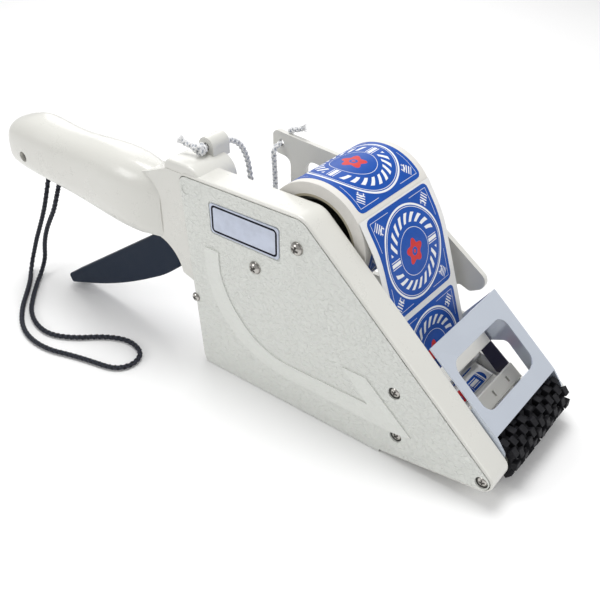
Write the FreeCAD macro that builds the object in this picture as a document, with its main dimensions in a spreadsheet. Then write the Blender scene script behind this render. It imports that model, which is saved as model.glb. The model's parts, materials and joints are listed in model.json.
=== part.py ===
"""Hand-held label applicator: a pistol-grip dispenser that pulls a roll of labels, peels them and rolls them on.

Frame, in millimetres: X runs from the grip to the nose, Y from the side cover to the open side, Z up.
The origin is on the flat underside that the tool stands on, at the middle of the label path.
"""
import FreeCAD
import Part
import math
import os
from FreeCAD import Placement, Rotation, Vector

doc = FreeCAD.newDocument("LabelApplicator")

# ---------------------------------------------------------------- driving dimensions
DIMENSIONS = {
    # label path
    "label_width": 60, "web_half": 29.2, "web_thick": 0.3,
    "roll_x": 1.2, "roll_z": 90.5, "roll_radius": 28.3, "core_radius": 22.6, "core_bore": 21.4,
    "hub_radius": 21.1, "hub_wall": 2.2, "hub_boss_radius": 7.4, "hub_shaft_radius": 4, "roll_width": 59.4,
    # gear housing, seen from the side cover
    "flange_near": -46.7, "flange_thick": 15.7, "wall": 2.4, "cover_recess": 2.6, "cover_thick": 2.4,
    "cover_gap": 0.45, "cover_proud": 0.4, "rim_round": 1.3, "post_radius": 3.4, "screw_hole_radius": 1.6,
    "cover_hole_radius": 1.7, "screw_seat_radius": 3.2, "screw_seat_deep": 1.4, "screw_shank_radius": 1.45,
    "grip_mid": -39, "neck_half": 7.4, "slot_half": 5.3, "grip_wall": 2.6,
    "head_far": -21, "tube_radius": 4.8, "tube_bore": 2.1, "tube_x": -66, "tube_z": 118,
    "tube_near": -29.5, "tube_long": 11.7, "strap_hole_radius": 2.8,
    # base and the far wall that carry the rollers
    "floor_thick": 2.2, "far_wall_near": 31.3, "far_wall_thick": 2.5, "lip_tall": 11.4, "guide_rod_radius": 2,
    "tie_bar_radius": 2.4, "deflector_radius": 1.2,
    # gear train, module 1
    "gear_module": 1, "sector_teeth": 118, "pinion_teeth": 18, "idler_teeth": 46, "feed_teeth": 20,
    "feed_x": 36, "feed_z": 22, "idler_slope": 20, "sector_slope": 32.7, "gear_thick": 3,
    "sector_near": -42.6, "idler_near": -38.8, "pivot_pin_radius": 3, "shaft_fit": 0.05,
    "idler_pin_radius": 2.5, "feed_shaft_radius": 3, "clutch_radius": 5,
    "feed_roller_radius": 8.7, "pinch_roller_radius": 4.7, "pinch_z": 8, "pinch_shaft_radius": 1.8,
    "roller_half": 27, "rivet_radius": 1, "rivet_ring": 6.4,
    # trigger
    "trigger_thick": 10, "trigger_inner": 3, "trigger_round": 1.2,
    # nose
    "nose_x": 104.5, "nose_z": 12.4, "nose_shaft_radius": 2.5, "nose_shaft_near": -36, "nose_core_radius": 6.4,
    "finger_radius": 11.3, "finger_root": 8.2, "finger_count": 13, "finger_pitch": 4.5, "finger_wide": 4.1,
    "cover_steel": 0.8, "cover_near": -30.7, "cover_wide": 61.2,
    # roll guard on the open side
    "guard_near": 34.5, "guard_thick": 3, "guard_hinge_y": 36.6, "guard_hinge_z": 19, "guard_pin_radius": 1.5,
    "guard_barrel_radius": 2.5, "cord_hole_radius": 2,
    # cords
    "strap_radius": 1.5, "tether_radius": 1.4, "knot_radius": 3.3,
}
sheet = doc.addObject("Spreadsheet::Sheet", "Dims")
for row, (alias, number) in enumerate(DIMENSIONS.items(), start=1):
    sheet.set(f"A{row}", alias)
    sheet.set(f"B{row}", str(number))
    sheet.setAlias(f"B{row}", alias)
doc.recompute()


def size(alias):
    """A driving dimension, read from the sheet."""
    return float(sheet.get(alias))


# ---------------------------------------------------------------- drawing helpers
def rounded(corners):
    """Closed outline through (x, z, radius) corners, as line segments and arcs in the sketch's plane."""
    points = [Vector(c[0], c[1], 0) for c in corners]
    ends, pieces = [], []
    for i, corner in enumerate(corners):
        here, before, after = points[i], points[i - 1], points[(i + 1) % len(points)]
        to_before, to_after = (before - here).normalize(), (after - here).normalize()
        radius = corner[2] if len(corner) > 2 else 0
        if radius == 0:
            ends.append((here, None, here))
            continue
        half = to_before.getAngle(to_after) / 2
        reach = radius / math.tan(half)
        middle = (to_before + to_after).normalize()
        crown = here + middle * (radius / math.sin(half) - radius)
        ends.append((here + to_before * reach, crown, here + to_after * reach))
    for i, (start, crown, stop) in enumerate(ends):
        if crown is not None:
            pieces.append(Part.Arc(start, crown, stop))
        following = ends[(i + 1) % len(ends)][0]
        if stop.distanceToPoint(following) > 1e-6:
            pieces.append(Part.LineSegment(stop, following))
    return pieces


def circle(x, z, radius):
    """A round outline."""
    return [Part.Circle(Vector(x, z, 0), Vector(0, 0, 1), radius)]


def origin_plane(body, role):
    """The body's own origin plane with that role."""
    return next(f for f in body.Origin.OriginFeatures if f.Role == role)


def sketch_at(body, name, outlines, place):
    """A sketch of outlines on the body's X-Z plane, moved to Y = place (an expression)."""
    sketch = body.newObject("Sketcher::SketchObject", name)
    sketch.AttachmentSupport = (origin_plane(body, "XZ_Plane"), [""])
    sketch.MapMode = "FlatFace"
    sketch.setExpression("AttachmentOffset.Base.z", f"-({place})")
    for outline in outlines:
        for piece in outline:
            sketch.addGeometry(piece, False)
    return sketch


def plate(label, outlines, near, thick):
    """A body padded from X-Z outlines: its near face is at Y = near and it is thick deep. Both are expressions."""
    body = doc.addObject("PartDesign::Body", label)
    sketch = sketch_at(body, label + "_outline", outlines, f"{near} + {thick}")
    pad = body.newObject("PartDesign::Pad", label + "_pad")
    pad.Profile = sketch
    pad.setExpression("Length", thick)
    sketch.Visibility = False
    doc.recompute()
    return body


def sink(body, name, outlines, near, depth=None):
    """Cuts outlines into the body from Y = near towards +Y, to a depth or right through."""
    before = body.Shape.Volume
    pocket = body.newObject("PartDesign::Pocket", name)
    pocket.Profile = sketch_at(body, name + "_outline", outlines, near)
    if depth is None:
        pocket.Type = "ThroughAll"
    else:
        pocket.setExpression("Length", depth)
    doc.recompute()
    assert body.Shape.Volume < before, f"{name} cuts nothing"
    return pocket


def turned(label, profile, x, z, y=0.0):
    """A body turned about an axis along Y through (x, z). The profile is (along Y, radius, rounding)."""
    body = doc.addObject("PartDesign::Body", label)
    sketch = body.newObject("Sketcher::SketchObject", label + "_profile")
    sketch.AttachmentSupport = (origin_plane(body, "XY_Plane"), [""])
    sketch.MapMode = "FlatFace"
    for piece in rounded([(radius, along, *soft) for along, radius, *soft in profile]):
        sketch.addGeometry(piece, False)
    turn = body.newObject("PartDesign::Revolution", label + "_turn")
    turn.Profile = sketch
    turn.ReferenceAxis = (sketch, ["V_Axis"])
    turn.Angle = 360
    body.Placement = Placement(Vector(x, y, z), Rotation())
    doc.recompute()
    return body


def rod(label, radius, x, z, start, length):
    """A round bar along Y. Radius, start and length are expressions."""
    bar = doc.addObject("Part::Cylinder", label)
    bar.setExpression("Radius", radius)
    bar.setExpression("Height", length)
    bar.Placement = Placement(Vector(x, 0, z), Rotation(Vector(1, 0, 0), -90))
    bar.setExpression(".Placement.Base.y", start)
    doc.recompute()
    return bar


def rename(feature, label):
    """Gives the finished sub-part its label, and so its file name."""
    feature.Label = label
    return feature


def cut(label, base, *tools):
    """base with the tools taken away. Several tools are joined first."""
    step = doc.addObject("Part::Cut", label + "_cut")
    step.Base = base
    step.Tool = tools[0] if len(tools) == 1 else fuse(label + "_tools", *tools)
    doc.recompute()
    return step


def fuse(label, *members):
    """One solid from several overlapping objects."""
    step = doc.addObject("Part::MultiFuse", label + "_fuse")
    step.Shapes = list(members)
    doc.recompute()
    return step


def common(label, first, second):
    """What two objects share."""
    step = doc.addObject("Part::Common", label)
    step.Base, step.Tool = first, second
    doc.recompute()
    return step


def group(label, members):
    """Separate identical pieces that share one node."""
    step = doc.addObject("Part::Compound", label + "_group")
    step.Links = list(members)
    doc.recompute()
    return rename(step, label)


def made(label, shape, place=Placement()):
    """A sub-part whose shape comes from Part's own functions."""
    feature = doc.addObject("Part::Feature", label)
    feature.Shape = shape
    feature.Placement = place
    return feature


def along_y(outline, near, thick):
    """The solid of an X-Z outline between Y = near and near + thick, for shapes made in code."""
    wire = Part.Wire(Part.__sortEdges__([piece.toShape() for piece in outline]))
    wire.rotate(Vector(0, 0, 0), Vector(1, 0, 0), 90)
    wire.translate(Vector(0, near, 0))
    return Part.Face(wire).extrude(Vector(0, thick, 0))


def polygon(points):
    """Closed outline of straight lines."""
    corners = [Vector(x, z, 0) for x, z in points]
    return [Part.LineSegment(a, b) for a, b in zip(corners, corners[1:] + corners[:1])]


def polar(centre, radius, degrees):
    """A point at an angle from +X towards +Z."""
    angle = math.radians(degrees)
    return centre[0] + radius * math.cos(angle), centre[1] + radius * math.sin(angle)


# ---------------------------------------------------------------- places worked out from the dimensions
module = size("gear_module")
flange_near = size("flange_near")
flange_far = flange_near + size("flange_thick")
half_width = size("label_width") / 2
roll_axis = (size("roll_x"), size("roll_z"))
nose_axis = (size("nose_x"), size("nose_z"))
feed_axis = (size("feed_x"), size("feed_z"))
pinch_axis = (size("feed_x"), size("pinch_z"))
idler_axis = polar(feed_axis, module * (size("idler_teeth") + size("feed_teeth")) / 2, 180 - size("idler_slope"))
trigger_axis = polar(idler_axis, module * (size("sector_teeth") + size("pinion_teeth")) / 2,
                     180 - size("sector_slope"))
post_places = [(4.5, 94.7), (-20.9, 74.8)]
rear_screw_place = (-62.8, 40.5)
recessed_places = [(59.9, 39.3), (62.5, 14.6), (107.2, 13.2)]
neck_hollow = (-91.9, 48.2)
guide_rod_place = (49.4, 31)
guard_hole_place = (-71.4, 96.4)
far_wall_far = size("far_wall_near") + size("far_wall_thick")
across = f"(Dims.far_wall_near - ({flange_far}))"
bar_far = 28.6

# ---------------------------------------------------------------- housing: gear case, neck, head and grip
case_outline = [(-69.9, 110.6, 5), (7.8, 110.9, 11), (119.9, 9.2, 6), (55, 0, 4), (-61, 0, 4)]
panel_outline = [(-68.2, 108.8, 3.4), (7.1, 109.1, 9.6), (116.2, 10.6, 4.2), (54.5, 1.6, 0), (53.9, 0.05, 0),
                 (-59.3, 0.05, 3)]


def inset(corners, by):
    """The corners of an outline that runs clockwise, moved inwards, or outwards where by is negative."""
    moved = []
    for i, (_, _, radius) in enumerate(corners):
        here, before, after = (Vector(*corners[k % len(corners)][:2], 0) for k in (i, i - 1, i + 1))
        to_before, to_after = (before - here).normalize(), (after - here).normalize()
        half = to_before.getAngle(to_after) / 2
        side = math.copysign(1, to_before.cross(to_after).z)
        place = here + (to_before + to_after).normalize() * (by * side / math.sin(half))
        moved.append((place.x, place.y, max(radius - by * side, 0) if radius else 0))
    return moved


def flat_edges(pad, above=-math.inf):
    """Names of a pad's edges that lie in one X-Z plane, and reach over a height."""
    return [f"Edge{i + 1}" for i, edge in enumerate(pad.Shape.Edges)
            if edge.BoundBox.YLength < 1e-6 and edge.BoundBox.ZMax > above]


def round_edges(body, name, edges, radius):
    """Rounds edges of the body's last pad. The radius is an expression."""
    pad = body.Tip
    rounding = body.newObject("PartDesign::Fillet", name)
    rounding.Base = (pad, edges)
    rounding.setExpression("Radius", radius)
    doc.recompute()


def housing():
    """The gear case, open towards the side cover, with the neck, head and hollow grip moulded on."""
    case = plate("case", [rounded(case_outline)], "Dims.flange_near", "Dims.flange_thick")
    round_edges(case, "case_rounding", flat_edges(case.Tip), "Dims.rim_round")
    cavity = inset(panel_outline, size("wall"))
    sink(case, "case_cavity", [rounded(cavity)], "Dims.flange_near", "Dims.flange_thick - Dims.wall")

    neck_outline = [(-64, 109.5, 0), (-78, 109.5, 3), (-90, 104.5, 6), (-101, 101, 8), (-106, 80, 6),
                    (-104, 66.4, 3), (-88.2, 68.4, 0), (-71.9, 52, 0), (-64.2, 49.5, 0)]
    neck = plate("neck", [rounded(neck_outline)],
                 "Dims.grip_mid - Dims.neck_half", "2 * Dims.neck_half")
    head = plate("head", [rounded([(-79.5, 98, 0), (-79.5, 114.5, 4.5), (-53.4, 114.5, 11), (-53.4, 90, 0)])],
                 "Dims.flange_near + 0.6", "Dims.head_far - Dims.flange_near - 0.6")
    round_edges(head, "head_rounding", flat_edges(head.Tip, above=110), "Dims.rim_round")
    tube = rod("tube", "Dims.tube_radius", size("tube_x"), size("tube_z"), "Dims.tube_near", "Dims.tube_long")
    tube_foot = plate("tube_foot", [tube_foot_outline()], "Dims.tube_near", "Dims.tube_long")
    posts = [rod(f"post_{i}", "Dims.post_radius", x, z, "Dims.flange_near + Dims.cover_recess",
                 "Dims.flange_thick - Dims.cover_recess - 1")
             for i, (x, z) in enumerate(post_places + recessed_places)]
    posts.append(rod("nose_boss", "4.4", *nose_axis, "Dims.nose_shaft_near - 1.5", f"{flange_far - 0.5} - "
                     "(Dims.nose_shaft_near - 1.5)"))
    grip = made("grip_outer", grip_shape(0))
    solid = fuse("housing", case, neck, head, tube, tube_foot, grip, *posts)

    hollow = made("grip_hollow", grip_shape(size("grip_wall")))
    relief = rod("neck_relief", "20.4", *neck_hollow, "Dims.grip_mid - 20", "40")
    slot = plate("trigger_slot", [rounded([(-152, 60), (-152, 80), (-96, 86), (-58, 86), (-58, 48), (-110, 40)])],
                 "Dims.grip_mid - Dims.slot_half", "2 * Dims.slot_half")
    grip_boss = rod("grip_boss", "4.6", *grip_screw_place, "Dims.grip_mid - 12.4", "5")
    hollowed = cut("housing", solid, hollow, relief, slot)
    bossed = fuse("housing_boss", hollowed, common("grip_boss_trimmed", grip_boss, grip))
    return rename(cut("housing_bored", bossed, *housing_bores()), "housing")


def tube_foot_outline():
    """The straight sides that carry the tube down into the head."""
    left, right = size("tube_x") - size("tube_radius"), size("tube_x") + size("tube_radius")
    return polygon([(left, size("tube_z")), (right, size("tube_z")), (right, 112), (left, 112)])


def housing_bores():
    """What is cut from the moulding: the cover's room and the holes for pins, shafts, screws and cords."""
    cover_room = plate("cover_room", [rounded(inset(panel_outline, -size("cover_gap")))], "Dims.flange_near - 1",
                       "Dims.cover_recess + 1")
    tube_bore = rod("tube_bore", "Dims.tube_bore", size("tube_x"), size("tube_z"), "Dims.tube_near - 1",
                    "Dims.tube_long + 2")
    screw_holes = [rod(f"post_hole_{i}", "Dims.screw_hole_radius", x, z, "Dims.flange_near", "9.2")
                   for i, (x, z) in enumerate(post_places + recessed_places)]
    screw_holes.append(rod("rear_hole", "1.25", *rear_screw_place, "Dims.flange_near", "6"))
    far_skin, through_skin = f"{flange_far - 3}", "4"
    wall_bores = {"pivot": ("Dims.pivot_pin_radius", trigger_axis), "idler": ("Dims.idler_pin_radius", idler_axis),
                  "feed": ("Dims.clutch_radius", feed_axis), "hub": ("Dims.hub_shaft_radius", roll_axis),
                  "pinch": ("Dims.pinch_shaft_radius", pinch_axis), "guide": ("Dims.guide_rod_radius",
                                                                             guide_rod_place)}
    bores = [rod(f"{name}_bore", f"{radius} + Dims.shaft_fit", *place, far_skin, through_skin)
             for name, (radius, place) in wall_bores.items()]
    nose_bore = rod("nose_bore", "Dims.nose_shaft_radius + Dims.shaft_fit", *nose_axis,
                    "Dims.nose_shaft_near", "9")
    screw_seat = rod("grip_screw_seat", "3.1", *grip_screw_place, "Dims.grip_mid - 16", "5.2")
    pin_bore = rod("grip_pin_bore", "1.55", *grip_screw_place, "Dims.grip_mid - 16", "30")
    strap_holes = [made(f"strap_hole_{i}", Part.makeCylinder(size("strap_hole_radius"), 12,
                                                             Vector(x, size("grip_mid"), 66)))
                   for i, x in enumerate(strap_exits)]
    return [cover_room, tube_bore, *screw_holes, *bores, nose_bore, screw_seat, pin_bore, *strap_holes]


# Stations along the grip: X, underside, top and half width.
GRIP_STATIONS = [(-207.5, 79, 95, 6), (-206, 78.2, 99.2, 9.6), (-202.5, 77.6, 102.6, 11.9),
                 (-196, 76.6, 105.4, 13.3), (-186, 75.2, 107.6, 14), (-170, 73.5, 106.8, 13.6),
                 (-153, 71.6, 106, 13.2), (-136, 69.8, 106.9, 13.9), (-119, 68.1, 107.6, 14.9),
                 (-105, 66.8, 106.6, 14.6), (-94, 66, 104.4, 12.2), (-84, 66, 101, 8)]
SECTION_POINTS = 20
CROWN_BLUNTNESS, FLOOR_BLUNTNESS = 0.8, 0.5
grip_screw_place = (-188.6, 86.2)
strap_exits = (-186, -175.5)


def grip_shape(wall):
    """A loft through the stations' rounded sections, each drawn in by wall."""
    wires = []
    for x, low, top, half in GRIP_STATIONS:
        middle, tall = (low + top) / 2, (top - low) / 2 - wall
        wide = half - wall
        shift = wall * (int(x < -200) - int(x > -90))
        points = []
        for i in range(SECTION_POINTS):
            angle = 2 * math.pi * i / SECTION_POINTS
            c, s = math.cos(angle), math.sin(angle)
            blunt = FLOOR_BLUNTNESS if s < 0 else CROWN_BLUNTNESS
            points.append(Vector(x + shift,
                                 size("grip_mid") + wide * math.copysign(abs(c) ** blunt, c),
                                 middle + tall * math.copysign(abs(s) ** blunt, s)))
        curve = Part.BSplineCurve()
        curve.interpolate(points, PeriodicFlag=True)
        wires.append(Part.Wire(curve.toShape()))
    return Part.makeLoft(wires, True, False)


# ---------------------------------------------------------------- side cover and its fixings
def side_cover():
    """The textured cover plate of the gear case, with its raised arrow."""
    cover = plate("cover_sheet", [rounded(panel_outline)], "Dims.flange_near - Dims.cover_proud",
                  "Dims.cover_thick")
    holes = [circle(x, z, size("cover_hole_radius")) for x, z in post_places + recessed_places]
    sink(cover, "cover_screw_holes", holes + [circle(*rear_screw_place, 1.3)], "Dims.flange_near - 1")
    sink(cover, "cover_screw_seats", [circle(x, z, size("screw_seat_radius")) for x, z in recessed_places],
         "Dims.flange_near - Dims.cover_proud", "Dims.screw_seat_deep")
    arrow = plate("arrow", [arrow_outline()], "Dims.flange_near - 1.1", "1")
    recess = plate("nameplate_seat", [rounded([(-49.5, 101.3, 2), (-5.4, 101.6, 2), (-5.4, 83.6, 2),
                                               (-49, 84, 2)])], "Dims.flange_near - 0.6", "0.8")
    dimple = rod("dimple", "2.6", -64.2, 102.4, "Dims.flange_near - 0.6", "0.6")
    return rename(cut("side_cover", fuse("cover_arrow", cover, arrow), recess, dimple), "side_cover")


def arrow_outline():
    """A broad arrow that starts upright at the rear, sweeps round and ends in a barbed head at the nose."""
    inner_edge = [(-44.3, 74.6, 0), (-44.4, 62, 30), (-38, 47, 40), (-24.5, 32, 40), (-8, 25.4, 40),
                  (46.3, 26.2, 0)]
    barbed_head = [(31.5, 40.7, 0), (44.6, 40.8, 0), (70.8, 18.3, 0), (59.3, 16.4, 0)]
    outer_edge = [(2, 16.8, 60), (-17, 18.6, 40), (-35, 27.6, 40), (-48.5, 42.5, 36), (-53.5, 62, 40),
                  (-53.6, 74.6, 0)]
    return rounded(inner_edge + barbed_head + outer_edge)


def nameplate():
    """A blank rounded badge in its seat on the cover."""
    return plate("nameplate", [rounded([(-48.7, 100.5, 1.6), (-6.2, 100.8, 1.6), (-6.2, 84.4, 1.6),
                                        (-48.3, 84.8, 1.6)])], "Dims.flange_near - 0.5", "0.7")


def screw(label, x, z, seat, head_radius, head_tall, shank_radius, shank_long):
    """A pan-head screw with a cross recess, its head's underside at Y = seat and its shank towards +Y."""
    body = turned(label, [(-head_tall, 0, 0), (-head_tall, head_radius * 0.45, 0),
                          (-head_tall * 0.55, head_radius * 0.86, 0), (0, head_radius, 0), (0, shank_radius, 0),
                          (shank_long, shank_radius, 0), (shank_long, 0, 0)], x, z, seat)
    arms = [Part.makeBox(2.4, head_tall * 0.6, 0.5, Vector(-1.2, -head_tall - 0.01, -0.25)),
            Part.makeBox(0.5, head_tall * 0.6, 2.4, Vector(-0.25, -head_tall - 0.01, -1.2))]
    turn = Rotation(Vector(0, 1, 0), 20)
    cross = made(label + "_cross", arms[0].fuse(arms[1]), Placement(Vector(x, seat, z), turn))
    return cut(label, body, cross)


def screws():
    """Cross-head screws: two pan heads and a small one on the cover, three recessed, one in the grip."""
    face, shank = flange_near - size("cover_proud"), size("screw_shank_radius")
    group("pan_head_screws", [screw(f"pan_screw_{i}", x, z, face, 3.4, 2.3, shank, 9)
                              for i, (x, z) in enumerate(post_places)])
    sunk = face + size("screw_seat_deep")
    group("recessed_screws", [screw(f"recessed_screw_{i}", x, z, sunk, 2.7, 1.3, shank, 6.4)
                              for i, (x, z) in enumerate(recessed_places)])
    rename(screw("rear_screw", *rear_screw_place, face, 2.5, 1.6, 1.1, 5), "rear_screw")
    rename(screw("grip_screw", *grip_screw_place, size("grip_mid") - 11, 2.7, 1.6, shank, 6), "grip_screw")
    rename(rod("strap_pin", "1.5", *grip_screw_place, "Dims.grip_mid - 1.6", "13"), "strap_pin")


# ---------------------------------------------------------------- base, far wall and guides
def base_frame():
    """The floor that joins the gear case to the low wall on the open side, which carries the far shaft ends."""
    wall = plate("far_wall", [rounded([(-58, 0, 3), (-58, 22, 4), (20, 22, 6), (28, 36, 5), (54, 36, 4),
                                       (62, 17.5, 6), (86, 11.5, 4), (103, 11, 0), (109, 6.6, 0), (54, 0, 4)])],
                 "Dims.far_wall_near", "Dims.far_wall_thick")
    lobe = rod("nose_lobe", "6.4", *nose_axis, "Dims.far_wall_near", "Dims.far_wall_thick")
    floor_top = size("floor_thick")
    beside_case, reach = f"{flange_far + 0.2}", f"Dims.far_wall_near + 0.5 - ({flange_far + 0.2})"
    floor_outline = [(-58, 0), (-58, floor_top), (58, floor_top), (60, 0.9), (54, 0)]
    floor = plate("floor", [polygon(floor_outline)], beside_case, reach)
    rear = plate("rear_wall", [polygon([(-58, 0), (-58, 9), (-55.8, 9), (-55.8, 0)])], beside_case, reach)
    lip_tall = size("lip_tall")
    lip = plate("base_lip", [polygon([(-58, 0), (-58, lip_tall), (42, lip_tall), (54, 6), (54, 0)])], beside_case,
                "1.9")
    ears = [made(f"hinge_ear_{i}", Part.makeBox(5.7, 5.6, 7.2, Vector(x, far_wall_far - 0.5, 15)))
            for i, x in enumerate((-51, 25.3))]
    frame = fuse("base_frame", wall, lobe, floor, rear, lip, *ears)
    bores = [rod("feed_far_bore", "Dims.feed_shaft_radius + Dims.shaft_fit", *feed_axis, "30", "6"),
             rod("pinch_far_bore", "Dims.pinch_shaft_radius + Dims.shaft_fit", *pinch_axis, "30", "6"),
             rod("pinch_lip_bore", "2.6", *pinch_axis, f"{flange_far}", "3"),
             rod("nose_far_bore", "Dims.nose_shaft_radius + Dims.shaft_fit", *nose_axis, "30", "6"),
             rod("guide_far_bore", "Dims.guide_rod_radius + Dims.shaft_fit", *guide_rod_place, "30", "6"),
             rod("tie_far_bore", "1.5", *recessed_places[1], "30", "6")]
    hinge_bore = made("hinge_bore", Part.makeCylinder(size("guard_pin_radius") + 0.05, 90,
                                                      Vector(-55, size("guard_hinge_y"), size("guard_hinge_z")),
                                                      Vector(1, 0, 0)))
    return rename(cut("base_frame", frame, *bores, hinge_bore), "base_frame")


def guides():
    """What the web runs past: tie bar, guide rod with its collars, two cross bars, end plate and peel plate."""
    inside, between = f"{flange_far + 0.1}", f"{across} - 0.2"
    rename(rod("tie_rod", "Dims.tie_bar_radius", *recessed_places[1], inside, between), "tie_bar")
    rename(rod("web_rod", "Dims.guide_rod_radius", *guide_rod_place, f"{flange_far - 2}", f"{across} + 4"),
           "guide_rod")
    collar = [(0, 2.05), (0, 3.6), (0.7, 3.6), (0.7, 2.05)]
    group("guide_collars", [turned(f"guide_collar_{i}", collar, *guide_rod_place, y)
                            for i, y in enumerate((flange_far + 0.15, half_width + 0.35))])
    bar_near, bar_long = f"{flange_far + 0.1}", f"{bar_far - flange_far - 0.1}"
    upper_outline = [(64.4, 34, 0.6), (70.2, 28.7, 0.6), (68.6, 27, 0.6), (62.8, 32.3, 0.6)]
    upper = plate("upper_blade", [rounded(upper_outline)], bar_near, bar_long)
    foot = plate("upper_foot", [rounded([(56, 42.5, 2), (70.4, 28.6, 0.6), (66.4, 25, 0.6), (54.2, 36.6, 3)])],
                 bar_near, "0.5")
    hole = rod("upper_hole", "1.6", *recessed_places[0], f"{flange_far}", "3")
    rename(cut("upper_bar", fuse("upper_bar", upper, foot), hole), "upper_guide_bar")
    lower = plate("lower_blade", [rounded([(82.4, 21.1, 0.6), (89.6, 15.6, 0.6), (88.2, 13.8, 0.6),
                                           (81, 19.3, 0.6)])], bar_near, bar_long)
    slots = [made(f"bar_slot_{i}", Part.makeBox(3.2, 1.5, 6, Vector(-1.6, 0, -3)),
                  Placement(Vector(85.4, y, 17.4), Rotation(Vector(0, 1, 0), 38)))
             for i, y in enumerate((-18, -12, 4, 18))]
    rename(cut("lower_bar", lower, *slots), "lower_guide_bar")
    rename(plate("end_sheet", [rounded([(65.6, 32.6, 1), (70.6, 28, 0), (82.2, 19.2, 0), (80.6, 12.6, 1),
                                        (76, 11.5, 1), (64, 22, 2)])], str(bar_far), "0.7"), "guide_end_plate")
    rename(plate("peel_sheet", [polygon([(61.6, 9.9), (61.6, 10.8), (90.2, 4.9), (91.5, 4.4), (90, 4.1)])],
                 inside, between), "peel_plate")
    rename(rod("deflector", "Dims.deflector_radius", 90.6, 13, inside, between), "deflector_rod")


# ---------------------------------------------------------------- trigger and gear train
pin_near = -43.4
pin_long = flange_far - 0.4 - pin_near


def involute(angle):
    """The involute function."""
    return math.tan(angle) - angle


def gear_outline(teeth, centre, first_tooth, fraction=1.0, centre_of_arc=0.0):
    """Points round an involute gear of 20 degree pressure angle, a tooth centred on first_tooth degrees.

    A fraction under 1 keeps only the teeth about centre_of_arc, for a sector."""
    pitch_radius = module * teeth / 2
    base = pitch_radius * math.cos(math.radians(20))
    outer, root = pitch_radius + 0.92 * module, pitch_radius - 1.25 * module
    half_tooth = math.pi / teeth / 2 * 0.9 + involute(math.radians(20))
    flank = []
    for step in range(5):
        radius = max(base, root) + (outer - max(base, root)) * step / 4
        flank.append((radius, half_tooth - involute(math.acos(min(1.0, base / radius)))))
    if base > root:
        flank.insert(0, (root, flank[0][1]))
    points = []
    for tooth in range(teeth):
        middle = first_tooth + 360 * tooth / teeth
        away = (middle - centre_of_arc + 180) % 360 - 180
        if abs(away) > 180 * fraction:
            continue
        points.append((away, [polar(centre, radius, middle - math.degrees(turn)) for radius, turn in flank]
                       + [polar(centre, radius, middle + math.degrees(turn)) for radius, turn in reversed(flank)]))
    points.sort(key=lambda pair: pair[0])
    return [place for _, tooth_points in points for place in tooth_points]


SECTOR_MESH = -size("sector_slope")
IDLER_MESH = -size("idler_slope")
SECTOR_MIDDLE = SECTOR_MESH + 10
SECTOR_SHARE = 0.118
RIVET_PLACES = [polar(trigger_axis, size("rivet_ring"), SECTOR_MIDDLE + turn) for turn in (100, 260)]


def through_hole(label, radius, place):
    """A bore right through the gear case's depth."""
    return rod(label, radius, *place, "-50", "20")


def sector():
    """The toothed sector that the trigger drives, and the two rivets that hold it to the lever."""
    sector_thick, arc_middle = size("gear_thick"), SECTOR_MIDDLE
    teeth = gear_outline(int(size("sector_teeth")), trigger_axis, SECTOR_MESH, SECTOR_SHARE, arc_middle)
    outline = teeth + [polar(trigger_axis, 50, arc_middle + 14), polar(trigger_axis, 9, arc_middle + 80),
                       polar(trigger_axis, 9, arc_middle + 130), polar(trigger_axis, 9, arc_middle - 180),
                       polar(trigger_axis, 9, arc_middle - 130), polar(trigger_axis, 9, arc_middle - 80),
                       polar(trigger_axis, 50, arc_middle - 14)]
    blank = made("sector_blank", along_y(polygon(outline), size("sector_near"), sector_thick))
    window = made("sector_window", along_y(polygon([polar(trigger_axis, 18, arc_middle - 22),
                                                    polar(trigger_axis, 47, arc_middle - 11),
                                                    polar(trigger_axis, 47, arc_middle + 11),
                                                    polar(trigger_axis, 18, arc_middle + 22)]), -50, 20))
    pivot_hole = through_hole("sector_pivot_hole", "Dims.pivot_pin_radius + Dims.shaft_fit", trigger_axis)
    rivet_holes = [through_hole(f"rivet_hole_{i}", "Dims.rivet_radius + Dims.shaft_fit", place)
                   for i, place in enumerate(RIVET_PLACES)]
    rename(cut("sector", blank, window, pivot_hole, *rivet_holes), "sector_gear")
    shank, head, grip_length = size("rivet_radius"), 1.7, 6.2
    rivet = [(-0.6, 0, 0), (-0.6, head, 0), (0, head, 0), (0, shank, 0), (grip_length, shank, 0),
             (grip_length, 0, 0)]
    group("sector_rivets", [turned(f"sector_rivet_{i}", rivet, x, z, size("sector_near"))
                            for i, (x, z) in enumerate(RIVET_PLACES)])


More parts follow.
